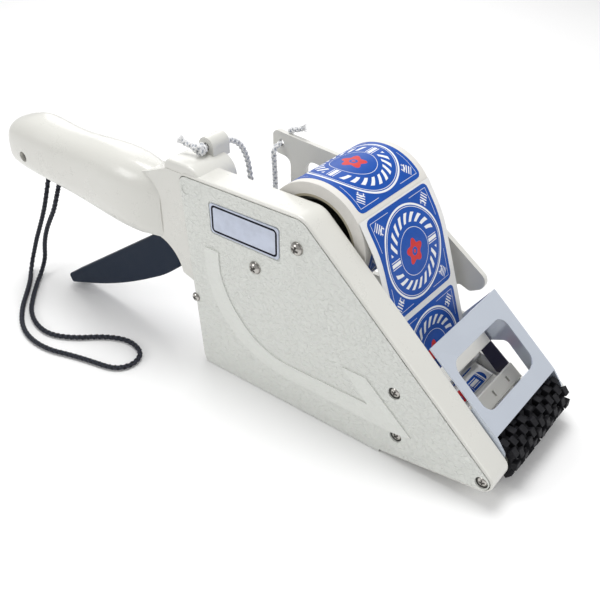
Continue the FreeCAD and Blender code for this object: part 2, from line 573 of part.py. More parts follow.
def trigger():
    """The finger lever below the grip, the plate that joins it to the sector, its pivot pin and its spring."""
    arm = plate("trigger_arm", [rounded([(-178.6, 7.2, 1.5), (-90.4, 68, 0), (-79, 73.4, 3), (-74.4, 66, 2),
                                         (-77.7, 51.2, 2), (-90.3, 41, 100), (-131, 17.9, 320), (-176.4, 1.9, 2)])],
                "Dims.grip_mid - Dims.trigger_thick / 2", "Dims.trigger_thick")
    long_edges = [f"Edge{i + 1}" for i, edge in enumerate(arm.Tip.Shape.Edges)
                  if edge.BoundBox.YLength < 1e-6 and edge.BoundBox.XLength > 8 and edge.BoundBox.XMax < -74]
    round_edges(arm, "trigger_rounding", long_edges, "Dims.trigger_round")
    inner_near = f"{size('sector_near') + size('gear_thick') + 0.3}"
    root = plate("trigger_root", [rounded([(-84, 69.5, 0), (trigger_axis[0] + 1, trigger_axis[1] + 8.5, 8),
                                           (trigger_axis[0] + 9, trigger_axis[1] - 1, 8),
                                           (trigger_axis[0] - 1, trigger_axis[1] - 9, 8), (-80, 53.5, 0)])],
                 inner_near, "Dims.trigger_inner")
    hub = rod("lever_hub", "9.4", *trigger_axis, inner_near, "Dims.trigger_inner")
    lever = fuse("trigger", arm, root, hub)
    holes = [through_hole("lever_pivot_hole", "Dims.pivot_pin_radius + Dims.shaft_fit", trigger_axis)]
    holes += [through_hole(f"lever_rivet_hole_{i}", "Dims.rivet_radius + Dims.shaft_fit", place)
              for i, place in enumerate(RIVET_PLACES)]
    rename(cut("trigger", lever, *holes), "trigger_lever")
    rename(rod("pivot_pin", "Dims.pivot_pin_radius", *trigger_axis, f"{pin_near}", f"{pin_long}"),
           "trigger_pivot_pin")
    torsion_spring()


def idler_pair():
    """The small pinion that meshes with the sector, the wheel beside it and the pin they turn on."""
    pinion_phase = 180 + SECTOR_MESH + 180 / size("pinion_teeth")
    small = polygon(gear_outline(int(size("pinion_teeth")), idler_axis, pinion_phase))
    pinion = made("pinion_blank", along_y(small, size("sector_near") - 0.3, 3.6))
    idler_hole = through_hole("idler_hole", "Dims.idler_pin_radius + Dims.shaft_fit", idler_axis)
    rename(cut("pinion", pinion, idler_hole), "idler_pinion")
    large = polygon(gear_outline(int(size("idler_teeth")), idler_axis, IDLER_MESH))
    wheel = made("wheel_blank", along_y(large, size("idler_near"), size("gear_thick")))
    wheel_hole = through_hole("wheel_hole", "Dims.idler_pin_radius + Dims.shaft_fit", idler_axis)
    lightening = [through_hole(f"lightening_{i}", "4.2", polar(idler_axis, 13, 60 * i + 30)) for i in range(6)]
    rename(cut("wheel", wheel, wheel_hole, *lightening), "idler_gear")
    rename(rod("idler_bar", "Dims.idler_pin_radius", *idler_axis, f"{pin_near}", f"{pin_long}"), "idler_pin")


def feed_line():
    """The feed shaft with its pinion, one-way clutch, rubber sleeve and the bush in the case wall."""
    feed_phase = 180 + IDLER_MESH + 180 / size("feed_teeth")
    teeth = polygon(gear_outline(int(size("feed_teeth")), feed_axis, feed_phase))
    feed_blank = made("feed_blank", along_y(teeth, size("idler_near") - 0.2, 3.4))
    feed_hole = through_hole("feed_hole", "Dims.clutch_radius", feed_axis)
    rename(cut("feed", feed_blank, feed_hole), "feed_pinion")
    shaft, race, clutch_long = size("feed_shaft_radius"), size("clutch_radius"), 6.2
    clutch = [(0, shaft, 0), (0, race, 0), (clutch_long, race, 0), (clutch_long, shaft, 0)]
    rename(turned("clutch", clutch, *feed_axis, -39.4), "one_way_clutch")
    rename(rod("feed_shaft_bar", "Dims.feed_shaft_radius", *feed_axis, "-42.6", f"{far_wall_far + 42.6}"),
           "feed_shaft")
    rename(turned("feed_sleeve", sleeve(shaft, size("feed_roller_radius"), 0.6), *feed_axis), "feed_roller")
    bush_near, bore, barrel, collar = -33.1, shaft + size("shaft_fit"), race - size("shaft_fit"), 6.4
    seat = flange_far - bush_near
    bush = [(0, bore, 0), (0, barrel, 0), (seat, barrel, 0), (seat, collar, 0), (seat + 1.1, collar, 0),
            (seat + 1.1, bore, 0)]
    rename(turned("feed_bush_body", bush, *feed_axis, bush_near), "feed_bush")


def sleeve(bore, radius, softness):
    """Profile of a rubber sleeve as long as the rollers, its rims rounded."""
    half = size("roller_half")
    return [(-half, bore, 0), (-half, radius, softness), (half, radius, softness), (half, bore, 0)]


def torsion_spring():
    """Coil round the trigger's pivot, with one leg on the lever and one on the case floor."""
    wire, coil_radius, turns, pitch = 0.45, 5.2, 1.6, 1.0
    helix = Part.makeHelix(pitch, pitch * turns, coil_radius)
    start = Vector(coil_radius, 0, 0)
    profile = Part.Wire(Part.makeCircle(wire, start, Vector(0, 1, 0)))
    coil = Part.Wire(helix.Edges).makePipeShell([profile], True, True)
    place = Placement(Vector(trigger_axis[0], -35.6, trigger_axis[1]), Rotation(Vector(1, 0, 0), -90))
    made("trigger_spring", coil, place)


def pinch_rollers():
    """Idle roller under the feed roller, with its shaft and the leaf springs that lift it."""
    bore = size("pinch_shaft_radius") + size("shaft_fit")
    rename(turned("pinch_sleeve", sleeve(bore, size("pinch_roller_radius"), 0.5), *pinch_axis), "pinch_roller")
    rename(rod("pinch_bar", "Dims.pinch_shaft_radius", *pinch_axis, f"{flange_far - 1.5}", f"{across} + 3.5"),
           "pinch_shaft")
    leaf = polygon([(8, 2.3), (8, 2.8), (22, 2.8), (34, 6), (38, 6), (38, 5.5), (34.2, 5.5), (22.2, 2.3)])
    group("pinch_springs", [plate(f"pinch_spring_{i}", [leaf], str(y), "1.6")
                            for i, y in enumerate((-28.8, 28.6))])


# ---------------------------------------------------------------- label roll, hub and web
def roll():
    """Label roll on its card core, the hub that turns inside it, and the fixed hub shaft."""
    half = size("roll_width") / 2
    paper = [(-half, size("core_radius"), 0), (-half, size("roll_radius"), 0.3), (half, size("roll_radius"), 0.3),
             (half, size("core_radius"), 0)]
    rename(turned("label_roll_paper", paper, *roll_axis), "label_roll")
    card = box_profile(-half, half, size("core_bore"), size("core_radius") - 0.02)
    rename(turned("roll_core_card", card, *roll_axis), "roll_core")
    outer, inner = size("hub_radius"), size("hub_radius") - size("hub_wall")
    bore, boss, end, overlap = size("hub_shaft_radius") + 0.1, size("hub_boss_radius"), half - 1, 0.4
    drum = [(-half + 3, inner, 0), (-half + 3, outer, 0.8), (end, outer, 0.8), (end, inner, 0)]
    hub_profiles = {"drum": drum,
                    "web": box_profile(end - 2.6, end, boss - overlap, inner + overlap),
                    "boss": box_profile(-half + 6, end, bore, boss),
                    "rib": box_profile(-6, -4, boss - overlap, inner + overlap)}
    members = [turned(f"hub_{name}", profile, *roll_axis) for name, profile in hub_profiles.items()]
    rename(fuse("roll_hub", *members), "roll_hub")
    spindle = size("hub_shaft_radius")
    shaft = [(-33.4, 0, 0), (-33.4, spindle, 0), (half + 1, spindle, 0.8), (half + 1, 0, 0)]
    rename(turned("hub_shaft_bar", shaft, *roll_axis), "hub_shaft")
    ring = box_profile(0, 1, spindle + size("shaft_fit"), 7.2)
    rename(turned("hub_ring", ring, *roll_axis, half - 0.9), "hub_retainer")


def box_profile(start, end, bore, radius):
    """Profile of a plain ring between two places along Y."""
    return [(start, bore, 0), (start, radius, 0), (end, radius, 0), (end, bore, 0)]


def band(route, thick):
    """Outline of a strip of even thickness along a route of (x, z, radius) corners."""
    sides = {1: [], -1: []}
    places = [Vector(x, z, 0) for x, z, _ in route]
    steps = [(b - a).normalize() for a, b in zip(places, places[1:])]
    for i, (place, corner) in enumerate(zip(places, route)):
        before, after = steps[max(i - 1, 0)], steps[min(i, len(steps) - 1)]
        normals = Vector(-before.y, before.x, 0), Vector(-after.y, after.x, 0)
        mitre = (normals[0] + normals[1]) * (thick / 2 / (1 + normals[0].dot(normals[1])))
        for side in sides:
            edge = place + mitre * side
            bend = side * math.copysign(thick / 2, before.cross(after).z)
            sides[side].append((edge.x, edge.y, max(corner[2] - bend, 0) if corner[2] else 0))
    return rounded(sides[1] + sides[-1][::-1])


def label_web():
    """Labels on their liner, from the roll round the guides to the peel edge, and the bare liner going back."""
    thick, wide = size("web_thick"), size("web_half") * 2
    lead = [(25, 106.6, 0), (35.5, 90, 60), (53.4, 33.5, 60), (57.2, 12.2, 9), (74, 8.7, 0)]
    rename(plate("web_lead", [band(lead, thick)], f"{-wide / 2}", f"{wide}"), "label_web")
    back = [(74.3, 8.64, 0), (93.1, 4.72, 0.55), (92.6, 3.1, 0.5), (60, 9, 20), (41, 13, 20), (-52, 13, 0)]
    rename(plate("web_back", [band(back, thick * 0.6)], f"{-wide / 2}", f"{wide}"), "liner")


# ---------------------------------------------------------------- nose: application roller and hinged cover
KNOBS = 9
HOOP_HALF, TIP_HALF = 13.5, 10.5    # degrees either side of a knob's middle, at its foot and at its tip


def finger_outline(turn):
    """One ring of the application roller: square rubber knobs round a hoop."""
    points = []
    hoop, tip = size("finger_root"), size("finger_radius")
    for knob in range(KNOBS):
        middle = 360 * knob / KNOBS + turn
        points += [polar(nose_axis, hoop, middle - HOOP_HALF), polar(nose_axis, tip, middle - TIP_HALF),
                   polar(nose_axis, tip, middle + TIP_HALF), polar(nose_axis, hoop, middle + HOOP_HALF)]
    return polygon(points)


def nose():
    """Shaft, roller core, knobbed rubber rings and the sheet-steel cover that tips forward round the shaft."""
    shaft_near = size("nose_shaft_near")
    spindle = size("nose_shaft_radius")
    reach = far_wall_far - shaft_near
    shaft = [(0, 0), (0, spindle), (reach, spindle), (reach, 4), (reach + 1.2, 4, 0.5), (reach + 1.2, 0)]
    rename(turned("nose_bar", shaft, *nose_axis, shaft_near), "nose_shaft")
    core_half = size("finger_pitch") * size("finger_count") / 2
    core = [(-core_half, spindle + 0.05), (-core_half, size("nose_core_radius")),
            (core_half, size("nose_core_radius")), (core_half, spindle + 0.05)]
    rename(turned("nose_drum", core, *nose_axis), "nose_core")
    rings = []
    for i in range(int(size("finger_count"))):
        near = -core_half + size("finger_pitch") * i + (size("finger_pitch") - size("finger_wide")) / 2
        blank = made(f"ring_blank_{i}", along_y(finger_outline(180 / KNOBS * (i % 2)), near, size("finger_wide")))
        bore = rod(f"ring_bore_{i}", "Dims.nose_core_radius", *nose_axis, f"{near - 1}", "Dims.finger_wide + 2")
        rings.append(cut(f"ring_{i}", blank, bore))
    group("finger_rings", rings)

    front_cover()


COVER_UPPER, COVER_LOWER = Vector(67, 58.4, 0), Vector(104.4, 26.2, 0)
COVER_ALONG = (COVER_LOWER - COVER_UPPER).normalize()
COVER_INWARD = Vector(COVER_ALONG.y, -COVER_ALONG.x, 0)


def cover_line(depth):
    """The sheet's upper and lower ends on the X-Z plane, at a depth below its outer face."""
    return [(end.x + COVER_INWARD.x * depth, end.y + COVER_INWARD.y * depth) for end in (COVER_UPPER, COVER_LOWER)]


def front_cover():
    """The folded sheet over the nose: a windowed slope between two flanges that turn on the nose shaft."""
    steel, wide, near = size("cover_steel"), size("cover_wide"), size("cover_near")
    slope = made("cover_slope", along_y(polygon(cover_line(0) + cover_line(steel)[::-1]), near, wide))

    window_long, window_middle, margin, radius, tall = 28.5, 25.75, 6.7, 6, 6
    block = Part.makeBox(window_long, wide - 2 * margin, tall, Vector(-window_long / 2, 0, -tall / 2))
    block = block.makeFillet(radius, [edge for edge in block.Edges if abs(edge.BoundBox.ZLength - tall) < 0.01])
    middle = COVER_UPPER + COVER_ALONG * window_middle
    tilt = math.degrees(math.atan2(COVER_ALONG.y, COVER_ALONG.x))
    window = made("cover_window", block, Placement(Vector(middle.x, near + 5.4, middle.y),
                                                   Rotation(Vector(0, 1, 0), -tilt)))

    upper, lower = [(*end, 1) for end in cover_line(0.1)]
    tip = [(109.6, 19, 3), (109.5, 7.4, 5), (99.5, 7.4, 5)]
    lobes = [(97, 15.5, 3), (78, 32.3, 4), (66, 27, 2), (53, 33, 2), (52, 37, 3)]
    narrow = [(98, 18, 3), (94.8, 26, 3), (89, 31, 3), (91, 37.2, 0)]
    far_flange = plate("cover_far_flange", [rounded([upper, lower, *tip, *lobes])],
                       "Dims.cover_near + Dims.cover_wide - Dims.cover_steel", "Dims.cover_steel")
    near_flange = plate("cover_near_flange", [rounded([(97, 32.4, 0), lower, *tip, *narrow])], "Dims.cover_near",
                        "Dims.cover_steel")
    hinge_hole = rod("cover_hinge_hole", "Dims.nose_shaft_radius + Dims.shaft_fit", *nose_axis, "-40", "80")
    rename(cut("front_cover", fuse("front_cover", slope, far_flange, near_flange), window, hinge_hole),
           "front_cover")


# ---------------------------------------------------------------- roll guard on the open side
def guard():
    """The window frame that swings out on its hinge to let a roll in, and the hinge's pin."""
    outline = [(-77.2, 103.6, 3.5), (-66, 102.4, 8), (-36.3, 100, 20), (8.3, 95.6, 12), (35.4, 76.2, 30),
               (64.6, 55.6, 5.5), (52, 48.6, 3), (44.5, 51.5, 3), (38, 30, 8), (30, 24, 3), (-64.8, 24, 3),
               (-64.8, 89, 5), (-77.2, 90.2, 5)]
    window = [(-54.5, 91.5, 6), (4, 85, 5), (36, 62, 5), (30, 36, 5), (-54.5, 36, 6)]
    frame = plate("guard_frame", [rounded(outline)], "Dims.guard_near", "Dims.guard_thick")
    sink(frame, "guard_window", [rounded(window)], "Dims.guard_near - 1")
    sink(frame, "guard_cord_hole", [circle(*guard_hole_place, size("cord_hole_radius"))], "Dims.guard_near - 1")
    hinge_y, hinge_z, barrel = size("guard_hinge_y"), size("guard_hinge_z"), size("guard_barrel_radius")
    left, right = -45, 25
    long_way = Vector(1, 0, 0)
    tube = made("guard_barrel", Part.makeCylinder(barrel, right - left, Vector(left, hinge_y, hinge_z), long_way))
    foot = made("guard_foot", Part.makeBox(right - left, size("guard_thick"), 6,
                                           Vector(left, size("guard_near"), hinge_z)))
    bore = made("guard_bore", Part.makeCylinder(size("guard_pin_radius") + size("shaft_fit"), right - left + 2,
                                                Vector(left - 1, hinge_y, hinge_z), long_way))
    rename(cut("roll_guard", fuse("roll_guard", frame, tube, foot), bore), "roll_guard")
    made("guard_hinge_pin", Part.makeCylinder(size("guard_pin_radius"), 81.6, Vector(-50.8, hinge_y, hinge_z),
                                              long_way))


# ---------------------------------------------------------------- cords
def cord_wire(name, route):
    """Straight runs through the route's points, joined by arcs as large as the runs allow."""
    points = [Vector(*place) for place in route]
    edges, radii, start = [], [], points[0]
    for before, here, after in zip(points, points[1:], points[2:]):
        to_before, to_after = (before - here), (after - here)
        reach = 0.45 * min(to_before.Length, to_after.Length)
        half = to_before.getAngle(to_after) / 2
        to_before.normalize()
        to_after.normalize()
        radius = reach * math.tan(half)
        crown = here + (to_before + to_after).normalize() * (radius / math.sin(half) - radius)
        enter, leave = here + to_before * reach, here + to_after * reach
        edges += [Part.LineSegment(start, enter).toShape(), Part.Arc(enter, crown, leave).toShape()]
        radii.append(round(radius, 1))
        start = leave
    edges.append(Part.LineSegment(start, points[-1]).toShape())
    wire = Part.Wire(edges)
    print(name, "arc radii", radii)
    return wire


def cord(label, route, radius):
    """A round cord swept along its wire."""
    wire = cord_wire(label, route)
    start = wire.Edges[0].Vertexes[0].Point
    heading = wire.Edges[0].tangentAt(wire.Edges[0].FirstParameter)
    profile = Part.Wire(Part.makeCircle(radius, start, heading))
    solid = wire.makePipeShell([profile], True, True)
    print(label, "length", round(wire.Length, 1), "volume over section times length",
          round(solid.Volume / (math.pi * radius ** 2 * wire.Length), 4))
    return made(label, solid)


STRAP_ROUTE = [(-186, -39, 82), (-186, -39, 75), (-183.7, -43, 68.6), (-182.6, -46.6, 61.5),
               (-186, -47.4, 52), (-191.5, -47.3, 42), (-197.2, -46.8, 33), (-202.4, -46.3, 24.9),
               (-206.4, -45.7, 18.4), (-209.5, -45.5, 12.7), (-210.2, -47.1, 8), (-208.9, -49.8, 4),
               (-206, -53.1, 1.8), (-199.8, -58.1, 1.6), (-190.6, -67.2, 1.6), (-178.2, -80.4, 1.6),
               (-163.5, -91.4, 1.6), (-149, -96.2, 1.6), (-133.5, -96.2, 1.6), (-119, -91.3, 1.6),
               (-106, -88, 1.6), (-94.1, -85.5, 1.6), (-88.6, -81.5, 1.6), (-86.5, -75, 1.6),
               (-88.6, -68.5, 1.6), (-94.1, -64.3, 1.6), (-105.5, -62.6, 1.6), (-118.5, -69, 1.6),
               (-130.5, -80.5, 1.6), (-144, -87, 1.6), (-158, -85.5, 1.6), (-171.5, -79.2, 1.6),
               (-182.4, -69.2, 1.6), (-189.6, -61.8, 1.6), (-194.8, -56.3, 1.6), (-198.7, -51.4, 1.8),
               (-200.7, -47.9, 3.8), (-201.5, -45.1, 7.3), (-200.9, -43.9, 11.6), (-198.2, -44.8, 18.5),
               (-194.5, -46, 26.2), (-189.8, -46.8, 34.6), (-183.8, -47.1, 44), (-177.3, -47.2, 53),
               (-173.6, -46.6, 61.5), (-174, -43, 68.6), (-175.5, -39, 75), (-175.5, -39, 82)]
TETHER_ROUTE = [(-66, -30.2, 118), (-66, -19, 118), (-66.2, -6, 113.5), (-67, 1.5, 101), (-67.8, 4.2, 87),
                (-68.6, 6.7, 76), (-69, 7.6, 67), (-69.4, 9.8, 60), (-69.9, 15.2, 56), (-70.6, 21.8, 56),
                (-71.2, 27, 60), (-71.6, 29, 67.5), (-71.8, 29.2, 79.5), (-71.7, 28.4, 88.3),
                (-71.4, 27.8, 96.4), (-71.4, 34.2, 96.4)]


def cords():
    """The wrist strap, both its ends inside the grip, and the tether that limits the roll guard."""
    cord("wrist_strap", STRAP_ROUTE, size("strap_radius"))
    cord("tether_cord", TETHER_ROUTE, size("tether_radius"))
    made("tether_knot_near", Part.makeSphere(size("knot_radius"), Vector(size("tube_x"), -33.5, size("tube_z"))))
    knot = Part.makeSphere(size("knot_radius"), Vector(guard_hole_place[0], 41.2, guard_hole_place[1]))
    tail = Part.makeCylinder(size("tether_radius"), 4.5, Vector(guard_hole_place[0], 34.6, guard_hole_place[1]),
                             Vector(0, 1, 0))
    made("tether_knot_far", knot.fuse(tail))


# ---------------------------------------------------------------- build, check and write
NODE_NAMES = {"housing", "side_cover", "nameplate", "pan_head_screws", "recessed_screws", "rear_screw",
              "grip_screw", "strap_pin", "base_frame", "tie_bar", "guide_rod", "guide_collars",
              "upper_guide_bar", "lower_guide_bar", "guide_end_plate", "peel_plate", "deflector_rod",
              "sector_gear", "trigger_lever", "sector_rivets", "trigger_pivot_pin", "trigger_spring",
              "idler_pinion", "idler_gear", "idler_pin", "feed_pinion", "one_way_clutch", "feed_shaft",
              "feed_roller", "feed_bush", "pinch_roller", "pinch_shaft", "pinch_springs", "label_roll",
              "roll_core", "roll_hub", "hub_shaft", "hub_retainer", "label_web", "liner", "nose_shaft",
              "nose_core", "finger_rings", "front_cover", "roll_guard", "guard_hinge_pin", "wrist_strap",
              "tether_cord", "tether_knot_near", "tether_knot_far"}

for build in (housing, side_cover, nameplate, screws, base_frame, guides, sector, trigger, idler_pair, feed_line,
              pinch_rollers, roll, label_web, nose, guard, cords):
    build()
doc.recompute()

failed = [item.Label for item in doc.Objects if {"Invalid", "Error"} & set(item.State)]
assert not failed, f"failed objects: {failed}"
nodes = {item.Label: item for item in doc.Objects if item.Label in NODE_NAMES}
assert set(nodes) == NODE_NAMES, f"missing: {NODE_NAMES - set(nodes)}"
for label, item in nodes.items():
    assert not item.Shape.isNull() and item.Shape.isValid(), f"{label} is not a sound solid"
os.makedirs("parts", exist_ok=True)
for label, item in nodes.items():
    item.Shape.exportStep(f"parts/{label}.step")
print(len(nodes), "sub-parts written")
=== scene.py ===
"""Label applicator: the visual model in its studio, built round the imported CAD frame. Lengths are in metres."""
import json
import math
import random

import bmesh
import bpy
from mathutils import Matrix, Vector


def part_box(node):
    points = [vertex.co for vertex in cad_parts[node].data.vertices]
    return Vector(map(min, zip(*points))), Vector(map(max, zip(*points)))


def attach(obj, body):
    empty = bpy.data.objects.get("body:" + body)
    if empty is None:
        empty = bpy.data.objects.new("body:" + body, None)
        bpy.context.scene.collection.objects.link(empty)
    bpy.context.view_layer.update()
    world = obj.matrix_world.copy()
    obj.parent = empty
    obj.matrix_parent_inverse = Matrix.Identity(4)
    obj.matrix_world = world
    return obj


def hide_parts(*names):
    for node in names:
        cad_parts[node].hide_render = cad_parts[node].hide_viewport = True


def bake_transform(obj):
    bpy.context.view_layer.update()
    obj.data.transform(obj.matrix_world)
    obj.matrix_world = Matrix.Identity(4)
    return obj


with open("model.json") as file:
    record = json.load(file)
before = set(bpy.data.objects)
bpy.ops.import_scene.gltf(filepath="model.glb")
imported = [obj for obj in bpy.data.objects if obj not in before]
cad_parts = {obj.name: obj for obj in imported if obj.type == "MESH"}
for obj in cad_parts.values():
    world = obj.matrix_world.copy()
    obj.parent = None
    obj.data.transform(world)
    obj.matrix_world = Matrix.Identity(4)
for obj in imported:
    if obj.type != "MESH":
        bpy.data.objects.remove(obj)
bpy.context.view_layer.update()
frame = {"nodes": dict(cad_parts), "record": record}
NODES = frame["nodes"]
MM = 0.001
TAU = 2 * math.pi


# ---------------------------------------------------------------- camera, floor and light
def camera():
    """The main camera, a 50 mm lens looking down at the side cover from the nose end."""
    data = bpy.data.cameras.new("camera")
    data.lens = 50
    data.clip_start = 0.01
    cam = bpy.data.objects.new("camera", data)
    cam.location = (0.203, -0.297, 0.2861)
    cam.rotation_mode = "QUATERNION"
    cam.rotation_quaternion = Vector((-0.51012, 0.64757, -0.56607)).to_track_quat("-Z", "Y")
    bpy.context.scene.collection.objects.link(cam)
    bpy.context.scene.camera = cam


def soft_light(name, place, target, size, power, colour=(1, 1, 1)):
    """A square area light that looks at its target."""
    data = bpy.data.lights.new(name, "AREA")
    data.size = size
    data.energy = power
    data.color = colour
    lamp = bpy.data.objects.new(name, data)
    lamp.location = place
    lamp.rotation_mode = "QUATERNION"
    lamp.rotation_quaternion = (Vector(target) - Vector(place)).to_track_quat("-Z", "Y")
    bpy.context.scene.collection.objects.link(lamp)


def studio():
    """A pale floor under a bright sky, with one key light and three fills."""
    scene = bpy.context.scene
    scene.view_settings.view_transform = "Standard"
    world = bpy.data.worlds.new("studio")
    world.use_nodes = True
    world.node_tree.nodes["Background"].inputs["Color"].default_value = (1, 1, 1, 1)
    world.node_tree.nodes["Background"].inputs["Strength"].default_value = 0.45
    scene.world = world
    soft_light("key", (-0.2, 0.1, 1.0), (-0.02, 0, 0.05), 0.5, 6.0)
    soft_light("front", (-0.5, -0.8, 0.5), (0, 0, 0.05), 0.35, 1.7)
    soft_light("nose_fill", (0.9, 0.1, 0.5), (0.05, 0, 0.05), 0.5, 2.2)
    soft_light("rear_fill", (-0.6, 0.6, 0.5), (-0.05, 0, 0.05), 0.6, 1.6)
    mesh = bpy.data.meshes.new("floor")
    reach = 4
    mesh.from_pydata([(-reach, -reach, 0), (reach, -reach, 0), (reach, reach, 0), (-reach, reach, 0)], [],
                     [(0, 1, 2, 3)])
    floor = bpy.data.objects.new("floor", mesh)
    floor.location.z = -0.0002
    scene.collection.objects.link(floor)
    paper = Surface("studio_floor", (0.97, 0.97, 0.97), 0.85)
    paper.bump(paper.noise(900, 4), 0.05, 0.1 * MM)
    mesh.materials.append(paper.material)


# ---------------------------------------------------------------- materials
class Field:
    """A number at each point of a surface, as a node's output. Arithmetic on it adds Math nodes."""

    def __init__(self, tree, socket):
        self.tree = tree
        self.socket = socket

    def math(self, operation, *others):
        """This field put through one Math node."""
        node = self.tree.nodes.new("ShaderNodeMath")
        node.operation = operation
        for slot, value in zip(node.inputs, (self, *others)):
            if isinstance(value, Field):
                self.tree.links.new(value.socket, slot)
            else:
                slot.default_value = value
        return Field(self.tree, node.outputs[0])

    def __add__(self, other):
        return self.math("ADD", other)

    def __sub__(self, other):
        return self.math("SUBTRACT", other)

    def __mul__(self, other):
        return self.math("MULTIPLY", other)

    def __truediv__(self, other):
        return self.math("DIVIDE", other)

    def __pow__(self, other):
        return self.math("POWER", other)

    def __and__(self, other):
        return self.math("MINIMUM", other)

    def __or__(self, other):
        return self.math("MAXIMUM", other)

    def __abs__(self):
        return self.math("ABSOLUTE")

    def sin(self):
        return self.math("SINE")

    def below(self, edge, blur=0.0):
        """1 where the field is under edge, 0 over it, with a soft step blur wide."""
        return self.ramp(edge + blur, edge - blur, 0, 1) if blur else self.math("LESS_THAN", edge)

    def near(self, value, half, blur=0.05):
        """1 where the field is within half of value."""
        return abs(self - value).below(half, blur)

    def ramp(self, low, high, to_low, to_high):
        """The field mapped from low..high to to_low..to_high, and clamped."""
        node = self.tree.nodes.new("ShaderNodeMapRange")
        for slot, value in zip(node.inputs, (self, low, high, to_low, to_high)):
            if isinstance(value, Field):
                self.tree.links.new(value.socket, slot)
            else:
                slot.default_value = value
        return Field(self.tree, node.outputs[0])


class Surface:
    """A procedural material: a Principled shader whose colour, roughness and bump are built up by calls."""

    def __init__(self, name, colour, roughness, metallic=0.0, coat=0.0, specular=0.5, sheen=0.0):
        self.material = bpy.data.materials.new(name)
        self.material.use_nodes = True
        self.tree = self.material.node_tree
        self.shader = self.tree.nodes["Principled BSDF"]
        self.shader.inputs["Base Color"].default_value = (*colour, 1)
        self.shader.inputs["Roughness"].default_value = roughness
        self.shader.inputs["Metallic"].default_value = metallic
        self.shader.inputs["Coat Weight"].default_value = coat
        self.shader.inputs["Coat Roughness"].default_value = 0.12
        self.shader.inputs["Specular IOR Level"].default_value = specular
        self.shader.inputs["Sheen Weight"].default_value = sheen
        self.colour = colour
        self.places = self.tree.nodes.new("ShaderNodeTexCoord")
        self.last_bump = None

    def node(self, kind, stretch=(1, 1, 1), **settings):
        """A texture node that reads the object's own coordinates, stretched."""
        texture = self.tree.nodes.new(kind)
        mapping = self.tree.nodes.new("ShaderNodeMapping")
        mapping.inputs["Scale"].default_value = stretch
        self.tree.links.new(self.places.outputs["Object"], mapping.inputs["Vector"])
        self.tree.links.new(mapping.outputs["Vector"], texture.inputs["Vector"])
        for key, value in settings.items():
            texture.inputs[key].default_value = value
        return texture

    def noise(self, scale, detail=3.0, roughness=0.5, distortion=0.0, stretch=(1, 1, 1)):
        """Soft noise from 0 to 1, scale being waves to the metre."""
        texture = self.node("ShaderNodeTexNoise", stretch, Scale=scale, Detail=detail, Roughness=roughness,
                            Distortion=distortion)
        return Field(self.tree, texture.outputs["Fac"])

    def cells(self, scale, stretch=(1, 1, 1)):
        """Distance to the nearest of scattered points, in cells."""
        texture = self.node("ShaderNodeTexVoronoi", stretch, Scale=scale)
        return Field(self.tree, texture.outputs["Distance"])

    def axis(self, name):
        """One of the object's own coordinates, X, Y or Z."""
        split = self.tree.nodes.new("ShaderNodeSeparateXYZ")
        self.tree.links.new(self.places.outputs["Object"], split.inputs[0])
        return Field(self.tree, split.outputs[name])

    def flat(self):
        """The two UV coordinates."""
        split = self.tree.nodes.new("ShaderNodeSeparateXYZ")
        self.tree.links.new(self.places.outputs["UV"], split.inputs[0])
        return Field(self.tree, split.outputs["X"]), Field(self.tree, split.outputs["Y"])

    def paint(self, field, colour):
        """Paints colour over what is there, where the field is 1."""
        mix = self.tree.nodes.new("ShaderNodeMix")
        mix.data_type = "RGBA"
        base = self.shader.inputs["Base Color"]
        if base.is_linked:
            self.tree.links.new(base.links[0].from_socket, mix.inputs["A"])
        else:
            mix.inputs["A"].default_value = base.default_value
        mix.inputs["B"].default_value = (*colour, 1)
        self.tree.links.new(field.socket, mix.inputs["Factor"])
        self.tree.links.new(mix.outputs["Result"], base)

    def shade(self, field, amount):
        """Makes the base colour up to amount darker where the field is 1."""
        self.paint(field, tuple(channel * (1 - amount) for channel in self.colour))

    def roughness(self, field, low, high):
        """Roughness from low to high as the field goes from 0 to 1."""
        self.tree.links.new(field.ramp(0, 1, low, high).socket, self.shader.inputs["Roughness"])

    def bump(self, field, strength, depth):
        """A bump of that depth in metres, on top of the bumps already there."""
        node = self.tree.nodes.new("ShaderNodeBump")
        node.inputs["Strength"].default_value = strength
        node.inputs["Distance"].default_value = depth
        self.tree.links.new(field.socket, node.inputs["Height"])
        if self.last_bump is not None:
            self.tree.links.new(self.last_bump.outputs["Normal"], node.inputs["Normal"])
        self.tree.links.new(node.outputs["Normal"], self.shader.inputs["Normal"])
        self.last_bump = node


def moulded(name, colour, roughness, coat=0.0, grain=0.0, specular=0.5):
    """Moulded plastic: faint colour drift, dust, fine scratches and a soft unevenness."""
    skin = Surface(name, colour, roughness, coat=coat, specular=specular)
    skin.shade(skin.noise(22, 4).ramp(0.35, 0.75, 0, 1), 0.04)
    skin.shade(skin.cells(420).below(0.045, 0.02), 0.2)
    skin.roughness(skin.noise(90, 5) * 0.7 + skin.noise(1400, 2) * 0.3, roughness - 0.08, roughness + 0.12)
    skin.bump(skin.noise(55, 3), 0.25, 0.25 * MM)
    skin.bump(skin.noise(2600, 3), 0.12 + grain, 0.04 * MM)
    return skin


def steel(name, colour, roughness, brushed=(1, 60, 60)):
    """Metal with fine lines along one axis, small pits and smudges."""
    skin = Surface(name, colour, roughness, metallic=1.0)
    lines = skin.noise(60, 6, 0.7, stretch=brushed)
    skin.roughness(lines * 0.6 + skin.noise(180, 3) * 0.4, roughness - 0.08, roughness + 0.2)
    skin.shade(skin.noise(140, 4).ramp(0.4, 0.8, 0, 1), 0.18)
    skin.bump(lines, 0.2, 0.03 * MM)
    return skin


